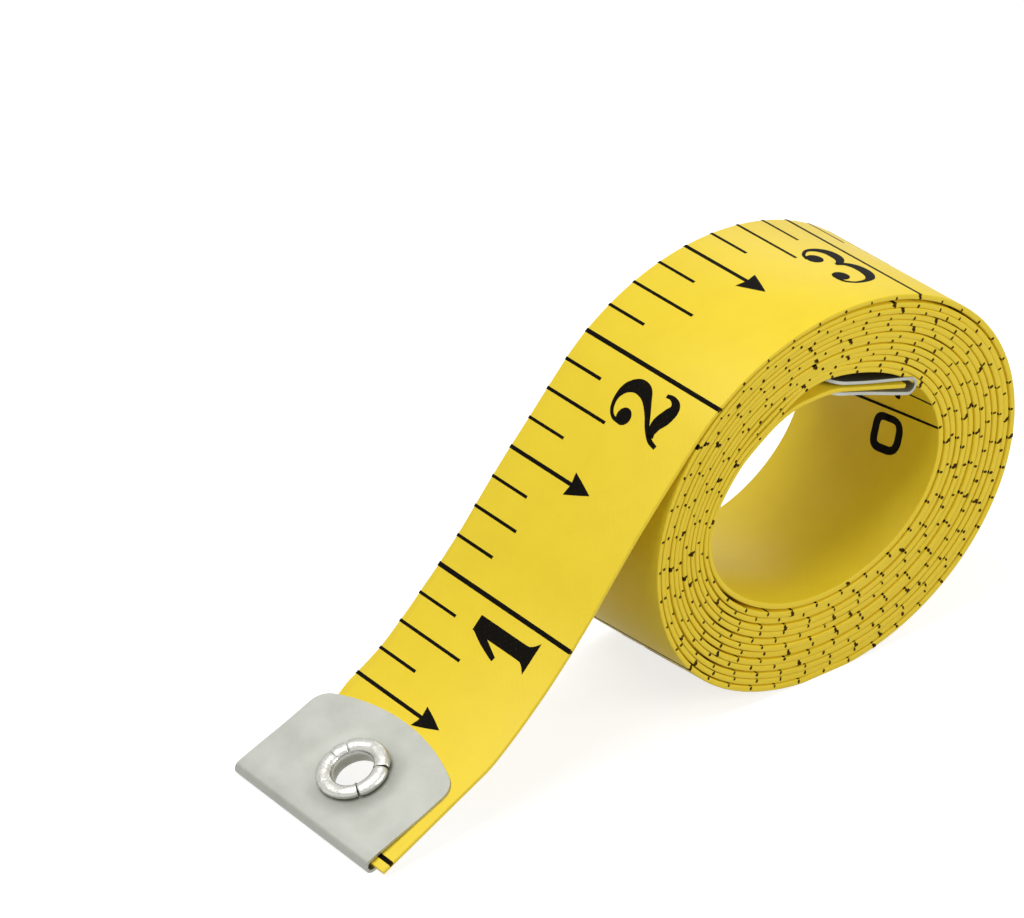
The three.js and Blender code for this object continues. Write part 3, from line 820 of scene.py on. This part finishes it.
# %% From pen lines to flat figures
def smooth_line(points, parts):
    """Points of a smooth line through others, straight where there are only two."""
    points = [np.array(p, float) for p in points]
    closed = np.allclose(points[0], points[-1])
    before = points[-2] if closed else 2 * points[0] - points[1]
    after = points[1] if closed else 2 * points[-1] - points[-2]
    padded = [before, *points, after]
    made = []
    for k in range(1, len(padded) - 2):
        a, b, c, d = padded[k - 1:k + 3]
        for step in range(parts):
            t = step / parts
            bend = (c - a) * t + (2 * a - 5 * b + 4 * c - d) * t**2 + (3 * b - a - 3 * c + d) * t**3
            made.append(b + 0.5 * bend)
    return made + [points[-1]]


def stroke_rows(points):
    """The two sides of a pen line of (right, up, width)."""
    line = np.array(points)
    along = np.gradient(line[:, :2], axis=0)
    if np.allclose(line[0], line[-1]):
        along[0] = along[-1] = line[1, :2] - line[-2, :2]
    along /= np.linalg.norm(along, axis=1)[:, None] + 1e-12
    beside = np.stack([-along[:, 1], along[:, 0]], 1) * line[:, 2:3] / 2
    return list(zip(line[:, :2] + beside, line[:, :2] - beside))


def blot_rows(u, v, radius, count=10):
    """The two sides of a round blot."""
    rows = []
    for turned in np.linspace(0.04 * math.pi, 0.96 * math.pi, count + 1):
        half, up = radius * math.sin(turned), v - radius * math.cos(turned)
        rows.append(((u - half, up), (u + half, up)))
    return rows


# where the foot of the figures lies across the tape, in front and behind
BASE = {1: -5.95, -1: 0.78}


def figure(work, sign, face, left, fine):
    """A figure, its left side at a length. face is 1 in front, in fat strokes, or -1 behind, in even ones."""
    top = THICK / 2 + INK_RISE + 0.002
    start = len(work.verts)
    parts, columns = (6, 4) if fine else (2, 2)
    if face > 0:
        strokes = [smooth_line(line, parts) for line in FAT[sign][0]]
        blots = FAT[sign][1]
    else:
        strokes = [[(*p, EVEN_STROKE) for p in smooth_line(line, parts)] for line in EVEN[sign]]
        blots = [(*line[k], EVEN_BLOT) for line in EVEN[sign] for k in (0, -1)]
    for rows in [stroke_rows(line) for line in strokes] + [blot_rows(*place) for place in blots]:
        slab(work, rows, top - INK_DEPTH, top, columns)
    work.verts.ensure_lookup_table()
    for vertex in work.verts[start:]:
        u, v, level = vertex.co
        vertex.co = ((left + u) * MM, (BASE[face] + v) * face * MM, level * face * MM)


# %% Write the numbers of both faces
FAT_STEP, FAT_GAP = 5.0, 1.1
# how far after its line a number of the back starts: its last sign, its first of two, and the nought of 60
EVEN_RIGHT, EVEN_LEFT, LAST_RIGHT = 1.5, -5.7, 0.75
BACK_INCHES = 60
LAST_ROOM = 14
# towards the free end the back is numbered from the tip
FROM_TIP = 220
TIP_CLEAR = 22
# figures that the picture shows are drawn finer
FINE_FRONT, FINE_BACK = 9, 5
numbers = bmesh.new()
for inch in range(1, int((TAPE_LENGTH - LAST_ROOM) / INCH) + 1):
    signs = str(inch)
    for place, sign in enumerate(signs):
        left = SCALE_START + inch * INCH - FAT_GAP - FAT_STEP * (len(signs) - place)
        figure(numbers, sign, 1, left, inch < FINE_FRONT)
for back in range(int(last_inch_at / INCH)):
    line_at = last_inch_at - back * INCH
    value = BACK_INCHES - back if line_at > FROM_TIP else int(line_at / INCH)
    if value < 1 or line_at < TIP_CLEAR:
        continue
    signs = str(value)
    if len(signs) == 2:
        figure(numbers, signs[0], -1, line_at + EVEN_LEFT, back < FINE_BACK)
    figure(numbers, signs[-1], -1, line_at + (EVEN_RIGHT if back else LAST_RIGHT), back < FINE_BACK)
bmesh.ops.recalc_face_normals(numbers, faces=numbers.faces)
figures_mesh = mesh_of("figures", numbers)
figures_mesh.materials.append(print_black)
print("figures", len(figures_mesh.polygons), "faces")

# %% All print as one flat mesh, and a part of it for each slice
EYELET_HOLE = 2.5
# the last of the back was printed a little askew
ASKEW_FROM, ASKEW_SLOPE = 12, 0.13
flat_print = bmesh.new()
for mesh in (front_marks.data, back_marks.data, figures_mesh):
    flat_print.from_mesh(mesh)
for vertex in flat_print.verts:
    if vertex.co.z < 0 and vertex.co.x > (last_inch_at - ASKEW_FROM) * MM:
        vertex.co.x += ASKEW_SLOPE * (vertex.co.y + WIDTH / 2 * MM)
flat_print_mesh = mesh_of("flat_print", flat_print)
for made in (front_marks, back_marks, arrow_head):
    bpy.data.objects.remove(made)


def slice_of_print(name, start, end, hole_at):
    """The print between two lengths, cut clean where a mark crosses a cut, with none at an eyelet."""
    work = bmesh.new()
    work.from_mesh(flat_print_mesh)
    if hole_at:
        lost = [vertex for vertex in work.verts if abs(vertex.co.x - hole_at * MM) < EYELET_HOLE * MM]
        bmesh.ops.delete(work, geom=lost, context="VERTS")
    for place, clear in ((start, -1), (end, 1)):
        cut = bmesh.ops.bisect_plane(
            work, geom=work.verts[:] + work.edges[:] + work.faces[:], dist=1e-8, plane_co=(place * MM, 0, 0),
            plane_no=(clear, 0, 0), clear_outer=True)
        rim = [item for item in cut["geom_cut"] if isinstance(item, bmesh.types.BMEdge)]
        if rim:
            bmesh.ops.holes_fill(work, edges=rim, sides=0)
    return place_object(name, mesh_of(name, work))


print("all print", len(flat_print_mesh.polygons), "faces")

# %% Lay the slices and their print along the path
EYELET_SETBACK = 5.8
# how much wider the far half of the cloth is pressed where it comes out of the end clip, by length
SPREAD = ([8, 12.5, 14, 17, 24, 30, 42], [0, 0.95, 0.95, 0.65, 0.6, 0.35, 0])
# where an eyelet goes through a slice, along it and across
HOLES = {
    "tape_in_end_clip": (EYELET_SETBACK - TIP_INSET["end"], -slip(EYELET_SETBACK)),
    "tape_in_inner_clip": (TAPE_LENGTH - (EYELET_SETBACK - TIP_INSET["inner_end"]), 0.0),
}


def punch(flat, place, side):
    """A round hole through a flat thing, for the eyelet."""
    bpy.ops.mesh.primitive_cylinder_add(
        vertices=48, radius=EYELET_HOLE * MM, depth=4 * MM, location=(place * MM, side * MM, 0))
    punch_tool = bpy.context.object
    cutter = flat.modifiers.new("hole", "BOOLEAN")
    cutter.operation = "DIFFERENCE"
    cutter.object = punch_tool
    cutter.solver = "EXACT"
    holed = mesh_as_shown(flat)
    flat.modifiers.clear()
    flat.data = holed
    bpy.data.objects.remove(punch_tool)


def spread(flat):
    """Press the far half of the cloth wider."""
    for vertex in flat.data.vertices:
        if vertex.co.y > 0:
            vertex.co.y *= 1 + np.interp(vertex.co.x / MM, *SPREAD) / (WIDTH / 2)


def smooth_but(piece, degrees):
    """Shade a piece smooth but for its edges that are sharper than an angle."""
    piece.data.shade_smooth()
    piece.data.set_sharp_from_angle(angle=math.radians(degrees))


start = 0.0
for name, end, bodies, joint_at, node in SLICES:
    flat = run_tree(name + "_flat", strip, {"Start": start * MM, "End": end * MM, "Material": tape_yellow})
    if name in HOLES:
        punch(flat, *HOLES[name])
    flat_ink = slice_of_print(name + "_print", start, end, HOLES[name][0] if name in HOLES else None)
    spread(flat)
    spread(flat_ink)
    piece = run_tree(name, wrap, {"Path": tape_path, "Material": tape_yellow}, flat)
    smooth_but(piece, 50)
    inked = {"Path": tape_path, "Material": print_black}
    printed = run_tree(name.replace("tape", "print"), wrap, inked, flat_ink)
    for made in (piece, printed):
        follow(made, bodies)
    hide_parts(node)
    print(name, len(piece.data.polygons), "faces, print", len(printed.data.polygons))
    start = end
bpy.data.objects.remove(tape_path)

# %% [markdown]
# ## The clips
# A clip is a blank of thin tinned steel, folded once over the end of the tape and pressed, so that its two
# leaves pinch the cloth. The free edge of each leaf is cut to a shallow bow with small round corners. The
# blank is made flat, with a shallow dish round the eyelet, and then laid round a path, as the tape was.


# %% Tinned steel
def near_to(tree, name, near, far):
    """1 up to a distance in mm that is kept on the vertices, and 0 beyond another."""
    return result(tree, "ShaderNodeMapRange", {
        "Value": kept_value(tree, name), "From Min": near, "From Max": far, "To Min": 1.0, "To Max": 0.0},
        interpolation_type="SMOOTHSTEP")


clip_tin, tree = new_material("clip_tin")
place = add(tree, "ShaderNodeTexCoord").outputs["Object"]
marks = add(tree, "ShaderNodeGroup", {"Place": place, "Size": 0.35, "Share": 0.5}, node_tree=marks_and_reflections).outputs
grain = noise(tree, vectors(tree, "MULTIPLY", place, (9000, 2500, 9000)), 1.0, 3.0)
tone = mix(tree, marks["Cloud"], (0.32, 0.33, 0.29), (0.48, 0.485, 0.445))
for mask, share, dark in (
        (marks["Mask"], 0.3, (0.30, 0.31, 0.28)),
        # painted shade: a darker ring round the eyelet, where the dish slopes
        (near_to(tree, "from_eyelet", 3.3, 5.4), 0.32, (0.22, 0.23, 0.19)),
        # painted shade: a darker band along the fold, where the sheet bends
        (near_to(tree, "from_fold", 0.5, 2.2), 0.22, (0.18, 0.19, 0.16)),
        # painted shade: the face of the inner clip that lies against the turns is made nearly black, as the
        # narrow gap there is in shadow
        (kept_value(tree, "painted_gap_shade"), 0.8, (0.03, 0.022, 0.01))):
    tone = mix(tree, times(tree, mask, share), tone, dark)
rough = maths(tree, "MULTIPLY_ADD", marks["Cloud"], 0.2, maths(tree, "MULTIPLY_ADD", grain, 0.12, 0.36))
end_material(tree, {
    "Base Color": tone, "Metallic": 0.85, "Roughness": rough, "Normal": bump(tree, grain, 0.12, 0.00003)})

# %% Bright eyelet metal
eyelet_bright, tree = new_material("eyelet_bright")
place = add(tree, "ShaderNodeTexCoord").outputs["Object"]
marks = add(tree, "ShaderNodeGroup", {"Place": place, "Size": 0.9, "Share": 0.9}, node_tree=marks_and_reflections).outputs
# painted reflection: random blotches darken the bright metal where it would mirror dark surroundings
tone = mix(tree, marks["Mask"], (0.56, 0.56, 0.52), (0.20, 0.20, 0.17))
# painted shade: the low parts of the eyelet, the tube, the rim under the clip and the tucked lip of the curl,
# are made dark, as they lie in shadow
tone = mix(tree, times(tree, near_to(tree, "level", 0.35, 0.85), 0.75), tone, (0.13, 0.13, 0.09))
end_material(tree, {
    "Base Color": tone, "Metallic": 1.0, "Roughness": maths(tree, "MULTIPLY_ADD", marks["Cloud"], 0.3, 0.2),
    "Normal": bump(tree, marks["Cloud"], 0.5, 0.0003)})

# %% The flat blank of a clip
CLIP_WIDTH = 19.6
CROWN_RADIUS = 21.5
CLIP_CORNER = 2.1
SHEET = 0.3
CLIP_BEVEL = 0.05
FOLD_ROWS, LEAF_ROWS = 8, 26
DISH_DEPTH, DISH_FLAT, DISH_SLOPE = 0.16, 3.2, 2.0
# each clip sits a little to one side of its eyelet
CLIP_SIDE = {"end": 0.4, "inner_end": 0.45}
# half the distance between the leaves, at the eyelet and at the fold; the inner clip was pressed less
CLIP_GAP = {"end": (THICK / 2 + SHEET / 2, 0.60), "inner_end": (0.54, 0.75)}


def leaf_outline():
    """Places across a leaf, each with how far the leaf reaches from the fold there."""
    crown_middle = CLIP_REACH - CROWN_RADIUS
    corner_y = CLIP_WIDTH / 2 - CLIP_CORNER
    corner_x = crown_middle + math.sqrt((CROWN_RADIUS - CLIP_CORNER) ** 2 - corner_y ** 2)
    touch = corner_y * CROWN_RADIUS / (CROWN_RADIUS - CLIP_CORNER)
    half = [(y, crown_middle + math.sqrt(CROWN_RADIUS ** 2 - y * y)) for y in np.linspace(0, touch, 17)]
    first = math.acos((touch - corner_y) / CLIP_CORNER)
    for turned in np.linspace(first, 0, 7)[1:]:
        half.append((corner_y + CLIP_CORNER * math.cos(turned), corner_x + CLIP_CORNER * math.sin(turned)))
    return [(-y, x) for y, x in half[:0:-1]] + half


def clip_blank(name, side, fold_half):
    """The blank, flat, with a dish and a hole for the eyelet in each leaf. Zero is the middle of the fold."""
    across = leaf_outline()
    fold_run = math.pi * fold_half / 2
    fold_rows = [fold_run * k / FOLD_ROWS for k in range(-FOLD_ROWS, FOLD_ROWS + 1)]
    work = bmesh.new()
    # the distances from the eyelet and from the fold are kept for the painted shade of the dish and of the
    # bend
    layers = [work.verts.layers.float.new(label) for label in ("from_eyelet", "from_fold", "painted_gap_shade")]
    grids = []
    for level in (-SHEET / 2, SHEET / 2):
        grid = []
        for y, reach in across:
            leaf = [fold_run + reach * k / LEAF_ROWS for k in range(1, LEAF_ROWS + 1)]
            inside = y not in (across[0][0], across[-1][0])
            column = []
            for run in [-far for far in leaf[::-1]] + fold_rows + leaf:
                # the face of the inner clip that lies against the wall of turns is kept, for the painted
                # shade of the gap
                on_wall = name.startswith("inner") and level > 0 and inside and -leaf[-1] < run < 0
                from_eyelet = math.hypot(abs(run) - fold_run - EYELET_SETBACK, y + side)
                dish = DISH_DEPTH * (1 - ease((from_eyelet - DISH_FLAT) / DISH_SLOPE))
                column.append(work.verts.new((run * MM, y * MM, (level - dish) * MM)))
                for layer, value in zip(layers, (from_eyelet, abs(run), on_wall)):
                    column[-1][layer] = value
            grid.append(column)
        grids.append(grid)
    close_slab(work, *grids)
    bmesh.ops.recalc_face_normals(work, faces=work.faces)
    made = place_object(name, mesh_of(name, work))
    for leaf_side in (-1, 1):
        punch(made, leaf_side * (fold_run + EYELET_SETBACK), -side)
    return made


print("a leaf is", len(leaf_outline()), "places wide")

# %% The path of a clip's sheet
LEAF_STEPS, FOLD_STEPS = 40, 16
PINCH_REACH = 7.0


def clip_path(name, fold, along, pinch_half, fold_half):
    """The sheet's path, in along the under leaf, round the fold and out again, and half its length."""
    local = []
    for step in range(LEAF_STEPS + 1):
        x = CLIP_REACH * (1 - step / LEAF_STEPS)
        local.append((x, -(pinch_half + (fold_half - pinch_half) * (1 - ease(x / PINCH_REACH)))))
    for step in range(1, FOLD_STEPS):
        turned = math.pi * step / FOLD_STEPS
        local.append((-fold_half * math.sin(turned), -fold_half * math.cos(turned)))
    local += [(x, -z) for x, z in local[LEAF_STEPS::-1]]
    half_length = sum(math.dist(a, b) for a, b in zip(local, local[1:])) / 2
    return path_curve(name, [fold + along * x + square_to(along) * z for x, z in local]), half_length


def soften(piece, width):
    """Small bevels on the sharp edges."""
    soft = piece.modifiers.new("soft edges", "BEVEL")
    soft.width = width * MM
    soft.segments = 2
    soft.limit_method = "ANGLE"
    soft.angle_limit = math.radians(50)


# %% Fold a clip round each end
end_along = way(END_SLOPE)
end_fold = side_line[0] - end_along * TIP_INSET["end"]
# for each end, where its clip folds, which way its leaves run, and its body
ENDS = {"end": (end_fold, end_along, "end"), "inner": (inner_fold, inner_axis, "inner_end")}
for end, (fold, along, body) in ENDS.items():
    name = end + "_clip"
    path, half_length = clip_path(name + "_path", fold, along, *CLIP_GAP[body])
    blank = clip_blank(name + "_blank", CLIP_SIDE[body], CLIP_GAP[body][1])
    for vertex in blank.data.vertices:
        vertex.co.x += half_length * MM
        vertex.co.y += CLIP_SIDE[body] * MM
    piece = run_tree(name + "_folded", wrap, {"Path": path, "Material": clip_tin}, blank)
    smooth_but(piece, 40)
    soften(piece, CLIP_BEVEL)
    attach(piece, body)
    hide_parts(name)
    bpy.data.objects.remove(path)
    print(name, len(piece.data.polygons), "faces, half of its path", round(half_length, 2), "mm")

# %% [markdown]
# ## The eyelets
# An eyelet is a short tube with a ready rim on the under side. The press drives its other end into a curl.
# The metal is stretched there and splits, so the ring is a few petals with fine gaps between them. Each
# petal is drawn here as a strip of the same turned profile, then the sheet gets its thickness.

# %% Draw the eyelets
# the turned profile, as (radius, level) in mm: rim under the clip, tube, and the curl over the face
profile = [(3.10, -0.62), (3.12, -0.74), (2.98, -0.86), (2.75, -0.88), (2.50, -0.82), (2.32, -0.62),
           (2.24, -0.3), (2.18, 0.1), (2.14, 0.5), (2.12, 0.8)]
TUBE_ROWS, CURL_ROWS = len(profile), 14
CURL_MIDDLE, CURL_HALF = (2.73, 0.87), (0.59, 0.37)
CURL_START, CURL_STEP = 176, 17.5
for step in range(CURL_ROWS + 1):
    across, up = way(CURL_START - step * CURL_STEP)
    profile.append((CURL_MIDDLE[0] + CURL_HALF[0] * across, CURL_MIDDLE[1] + CURL_HALF[1] * up))
# the press drove the curl a little wider one way
OVAL_WAY, OVAL_SHARE = math.radians(-53), 0.035
# where the curl split, in degrees round the eyelet from the clip's open edge, and the seeds of its petals
SPLITS = {"end": [59, 92, 241, 306], "inner": [20, 88, 150, 231, 310]}
SEEDS = {"end": 4, "inner": 9}
PETAL_STEP = math.radians(4.5)
# how far a petal's lip is lifted, and how far it reaches out
PETAL_LIFT, PETAL_REACH = (-0.06, 0.06), (-0.05, 0.07)
EYELET_SHEET, EYELET_BEVEL = 0.3, 0.08
# a longer eyelet is stretched between these levels
STRETCH_LEVEL = 0.5
# a petal's ends are drawn in over this angle, by this much across and down
END_ANGLE, END_IN, END_DOWN = 0.35, 0.14, 0.05
# half the gap between two petals, in radians, where the curl starts and how much more at its lip
GAP_START, GAP_MORE = 0.004, 0.05


def eyelet(end, fold, along, body):
    """An eyelet with a split curl, its axis square to a clip."""
    chance = random.Random(SEEDS[end])
    splits = [math.radians(split) for split in SPLITS[end] + [SPLITS[end][0] + 360]]
    longer = CLIP_GAP[body][0] - CLIP_GAP["end"][0]
    work = bmesh.new()
    # the profile level is kept, so that the material can paint shade on the tube and the under rim
    kept_level = work.verts.layers.float.new("level")
    for first, last in zip(splits, splits[1:]):
        lift, reach = chance.uniform(*PETAL_LIFT), chance.uniform(*PETAL_REACH)
        steps = max(8, round((last - first) / PETAL_STEP))
        grid = []
        for row, (radius, level) in enumerate(profile):
            curl = max(0.0, (row - TUBE_ROWS) / CURL_ROWS)
            gap = GAP_START + GAP_MORE * curl if row > TUBE_ROWS + 1 else 0.0
            line = []
            for step in range(steps + 1):
                share = step / steps
                turned = first + gap + (last - first - 2 * gap) * share
                edge = max(0.0, 1 - min(share, 1 - share) * (last - first) / END_ANGLE) ** 2
                r = radius + curl * (reach - END_IN * edge)
                r *= 1 + OVAL_SHARE * curl * math.cos(2 * (turned - OVAL_WAY))
                h = level + curl * lift - END_DOWN * edge * math.sin(math.pi * min(1.0, 1.6 * curl))
                h += longer * min(max(level / STRETCH_LEVEL, -1.0), 1.0)
                x, z = fold + along * (EYELET_SETBACK + r * math.cos(turned)) + square_to(along) * h
                line.append(work.verts.new((x * MM, r * math.sin(turned) * MM, z * MM)))
                line[-1][kept_level] = level
            grid.append(line)
        skin(work, grid)
    bmesh.ops.remove_doubles(work, verts=work.verts, dist=2e-6)
    bmesh.ops.recalc_face_normals(work, faces=work.faces)
    mesh = mesh_of(end + "_eyelet_rolled", work)
    mesh.shade_smooth()
    mesh.materials.append(eyelet_bright)
    made = place_object(end + "_eyelet_rolled", mesh)
    metal = made.modifiers.new("sheet", "SOLIDIFY")
    metal.thickness = EYELET_SHEET * MM
    metal.offset = 0
    soften(made, EYELET_BEVEL)
    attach(made, body)
    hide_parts(end + "_eyelet")
    print(made.name, len(splits) - 1, "petals,", len(mesh.polygons), "faces")


for end, place in ENDS.items():
    eyelet(end, *place)

# %% [markdown]
# ## Floor, light and camera
# A plain white floor takes the shadow. It shines a little for the camera alone, so that it reads as white
# without more light on the tape. One large soft lamp from above gives the tape its even tone, one in front
# lifts the edges of the turns, and a weak one behind shines into the hollow.


# %% The floor
def seen_by(tree, *rays):
    """1 for the named kinds of ray."""
    paths = add(tree, "ShaderNodeLightPath").outputs
    seen = paths[rays[0]]
    for ray in rays[1:]:
        seen = maths(tree, "MAXIMUM", seen, paths[ray])
    return seen


FLOOR_HALF = 6
floor_white, tree = new_material("floor_white")
strength = times(tree, seen_by(tree, "Is Camera Ray", "Is Glossy Ray"), 0.75)
dull = result(tree, "ShaderNodeBsdfPrincipled", {
    "Base Color": (0.5, 0.5, 0.5, 1), "Roughness": 0.9, "Specular IOR Level": 0.1})
shine = result(tree, "ShaderNodeEmission", {"Color": (1, 1, 1, 1), "Strength": strength})
summed = result(tree, "ShaderNodeAddShader", {0: dull, 1: shine})
add(tree, "ShaderNodeOutputMaterial", {"Surface": summed})
floor_mesh = bpy.data.meshes.new("floor")
corners = [(x * FLOOR_HALF, y * FLOOR_HALF, 0) for x, y in ((-1, -1), (1, -1), (1, 1), (-1, 1))]
floor_mesh.from_pydata(corners, [], [(0, 1, 2, 3)])
floor_mesh.materials.append(floor_white)
place_object("floor", floor_mesh)
print("the floor is", 2 * FLOOR_HALF, "metres wide")

# %% The world: white where it is seen, dimmer where it lights
world = bpy.data.worlds.new("studio")
bpy.context.scene.world = world
world.use_nodes = True
tree = world.node_tree
tree.nodes.clear()
seen = seen_by(tree, "Is Camera Ray", "Is Glossy Ray", "Is Transmission Ray")
strength = maths(tree, "MULTIPLY_ADD", seen, 0.72, 0.28)
sky = result(tree, "ShaderNodeBackground", {"Color": (1, 1, 1, 1), "Strength": strength})
add(tree, "ShaderNodeOutputWorld", {"Surface": sky})

# %% Square soft lamps: place, point that they face and size in millimetres, and power
LAMPS = {
    "top_lamp": ((-170, 45, 385), (5, 0, 15), 300, 1.25),
    "front_lamp": ((150, -410, 200), (10, 0, 20), 260, 0.98),
    "back_lamp": ((300, 260, 220), (10, 0, 15), 200, 0.2),
}
for name, (place, target, size, power) in LAMPS.items():
    data = bpy.data.lights.new(name, "AREA")
    data.shape = "SQUARE"
    data.size = size * MM
    data.energy = power
    aim = (Vector(target) - Vector(place)).to_track_quat("-Z", "Y").to_matrix().to_4x4()
    place_object(name, data).matrix_world = Matrix.Translation(Vector(place) * MM) @ aim
    print(name, power)

# %% The camera, as it was fitted to the photograph
EYE = Vector((-245.337, -277.627, 238.864)) * MM
RIGHT = Vector((0.77881, -0.62677, 0.02466))
UP = Vector((0.29773, 0.40399, 0.86496))
FOCAL_PIXELS, PICTURE_PIXELS = 4686.2, 1024
camera_data = bpy.data.cameras.new("camera")
camera_data.sensor_width = 36
camera_data.lens = FOCAL_PIXELS / PICTURE_PIXELS * camera_data.sensor_width
camera_data.clip_start = 0.01
camera = place_object("camera", camera_data)
turn = Matrix((RIGHT, UP, RIGHT.cross(UP))).transposed().to_4x4()
camera.matrix_world = Matrix.Translation(EYE) @ turn
bpy.context.scene.camera = camera
bpy.context.scene.view_settings.view_transform = "Standard"
print("lens", round(camera_data.lens, 1), "mm")
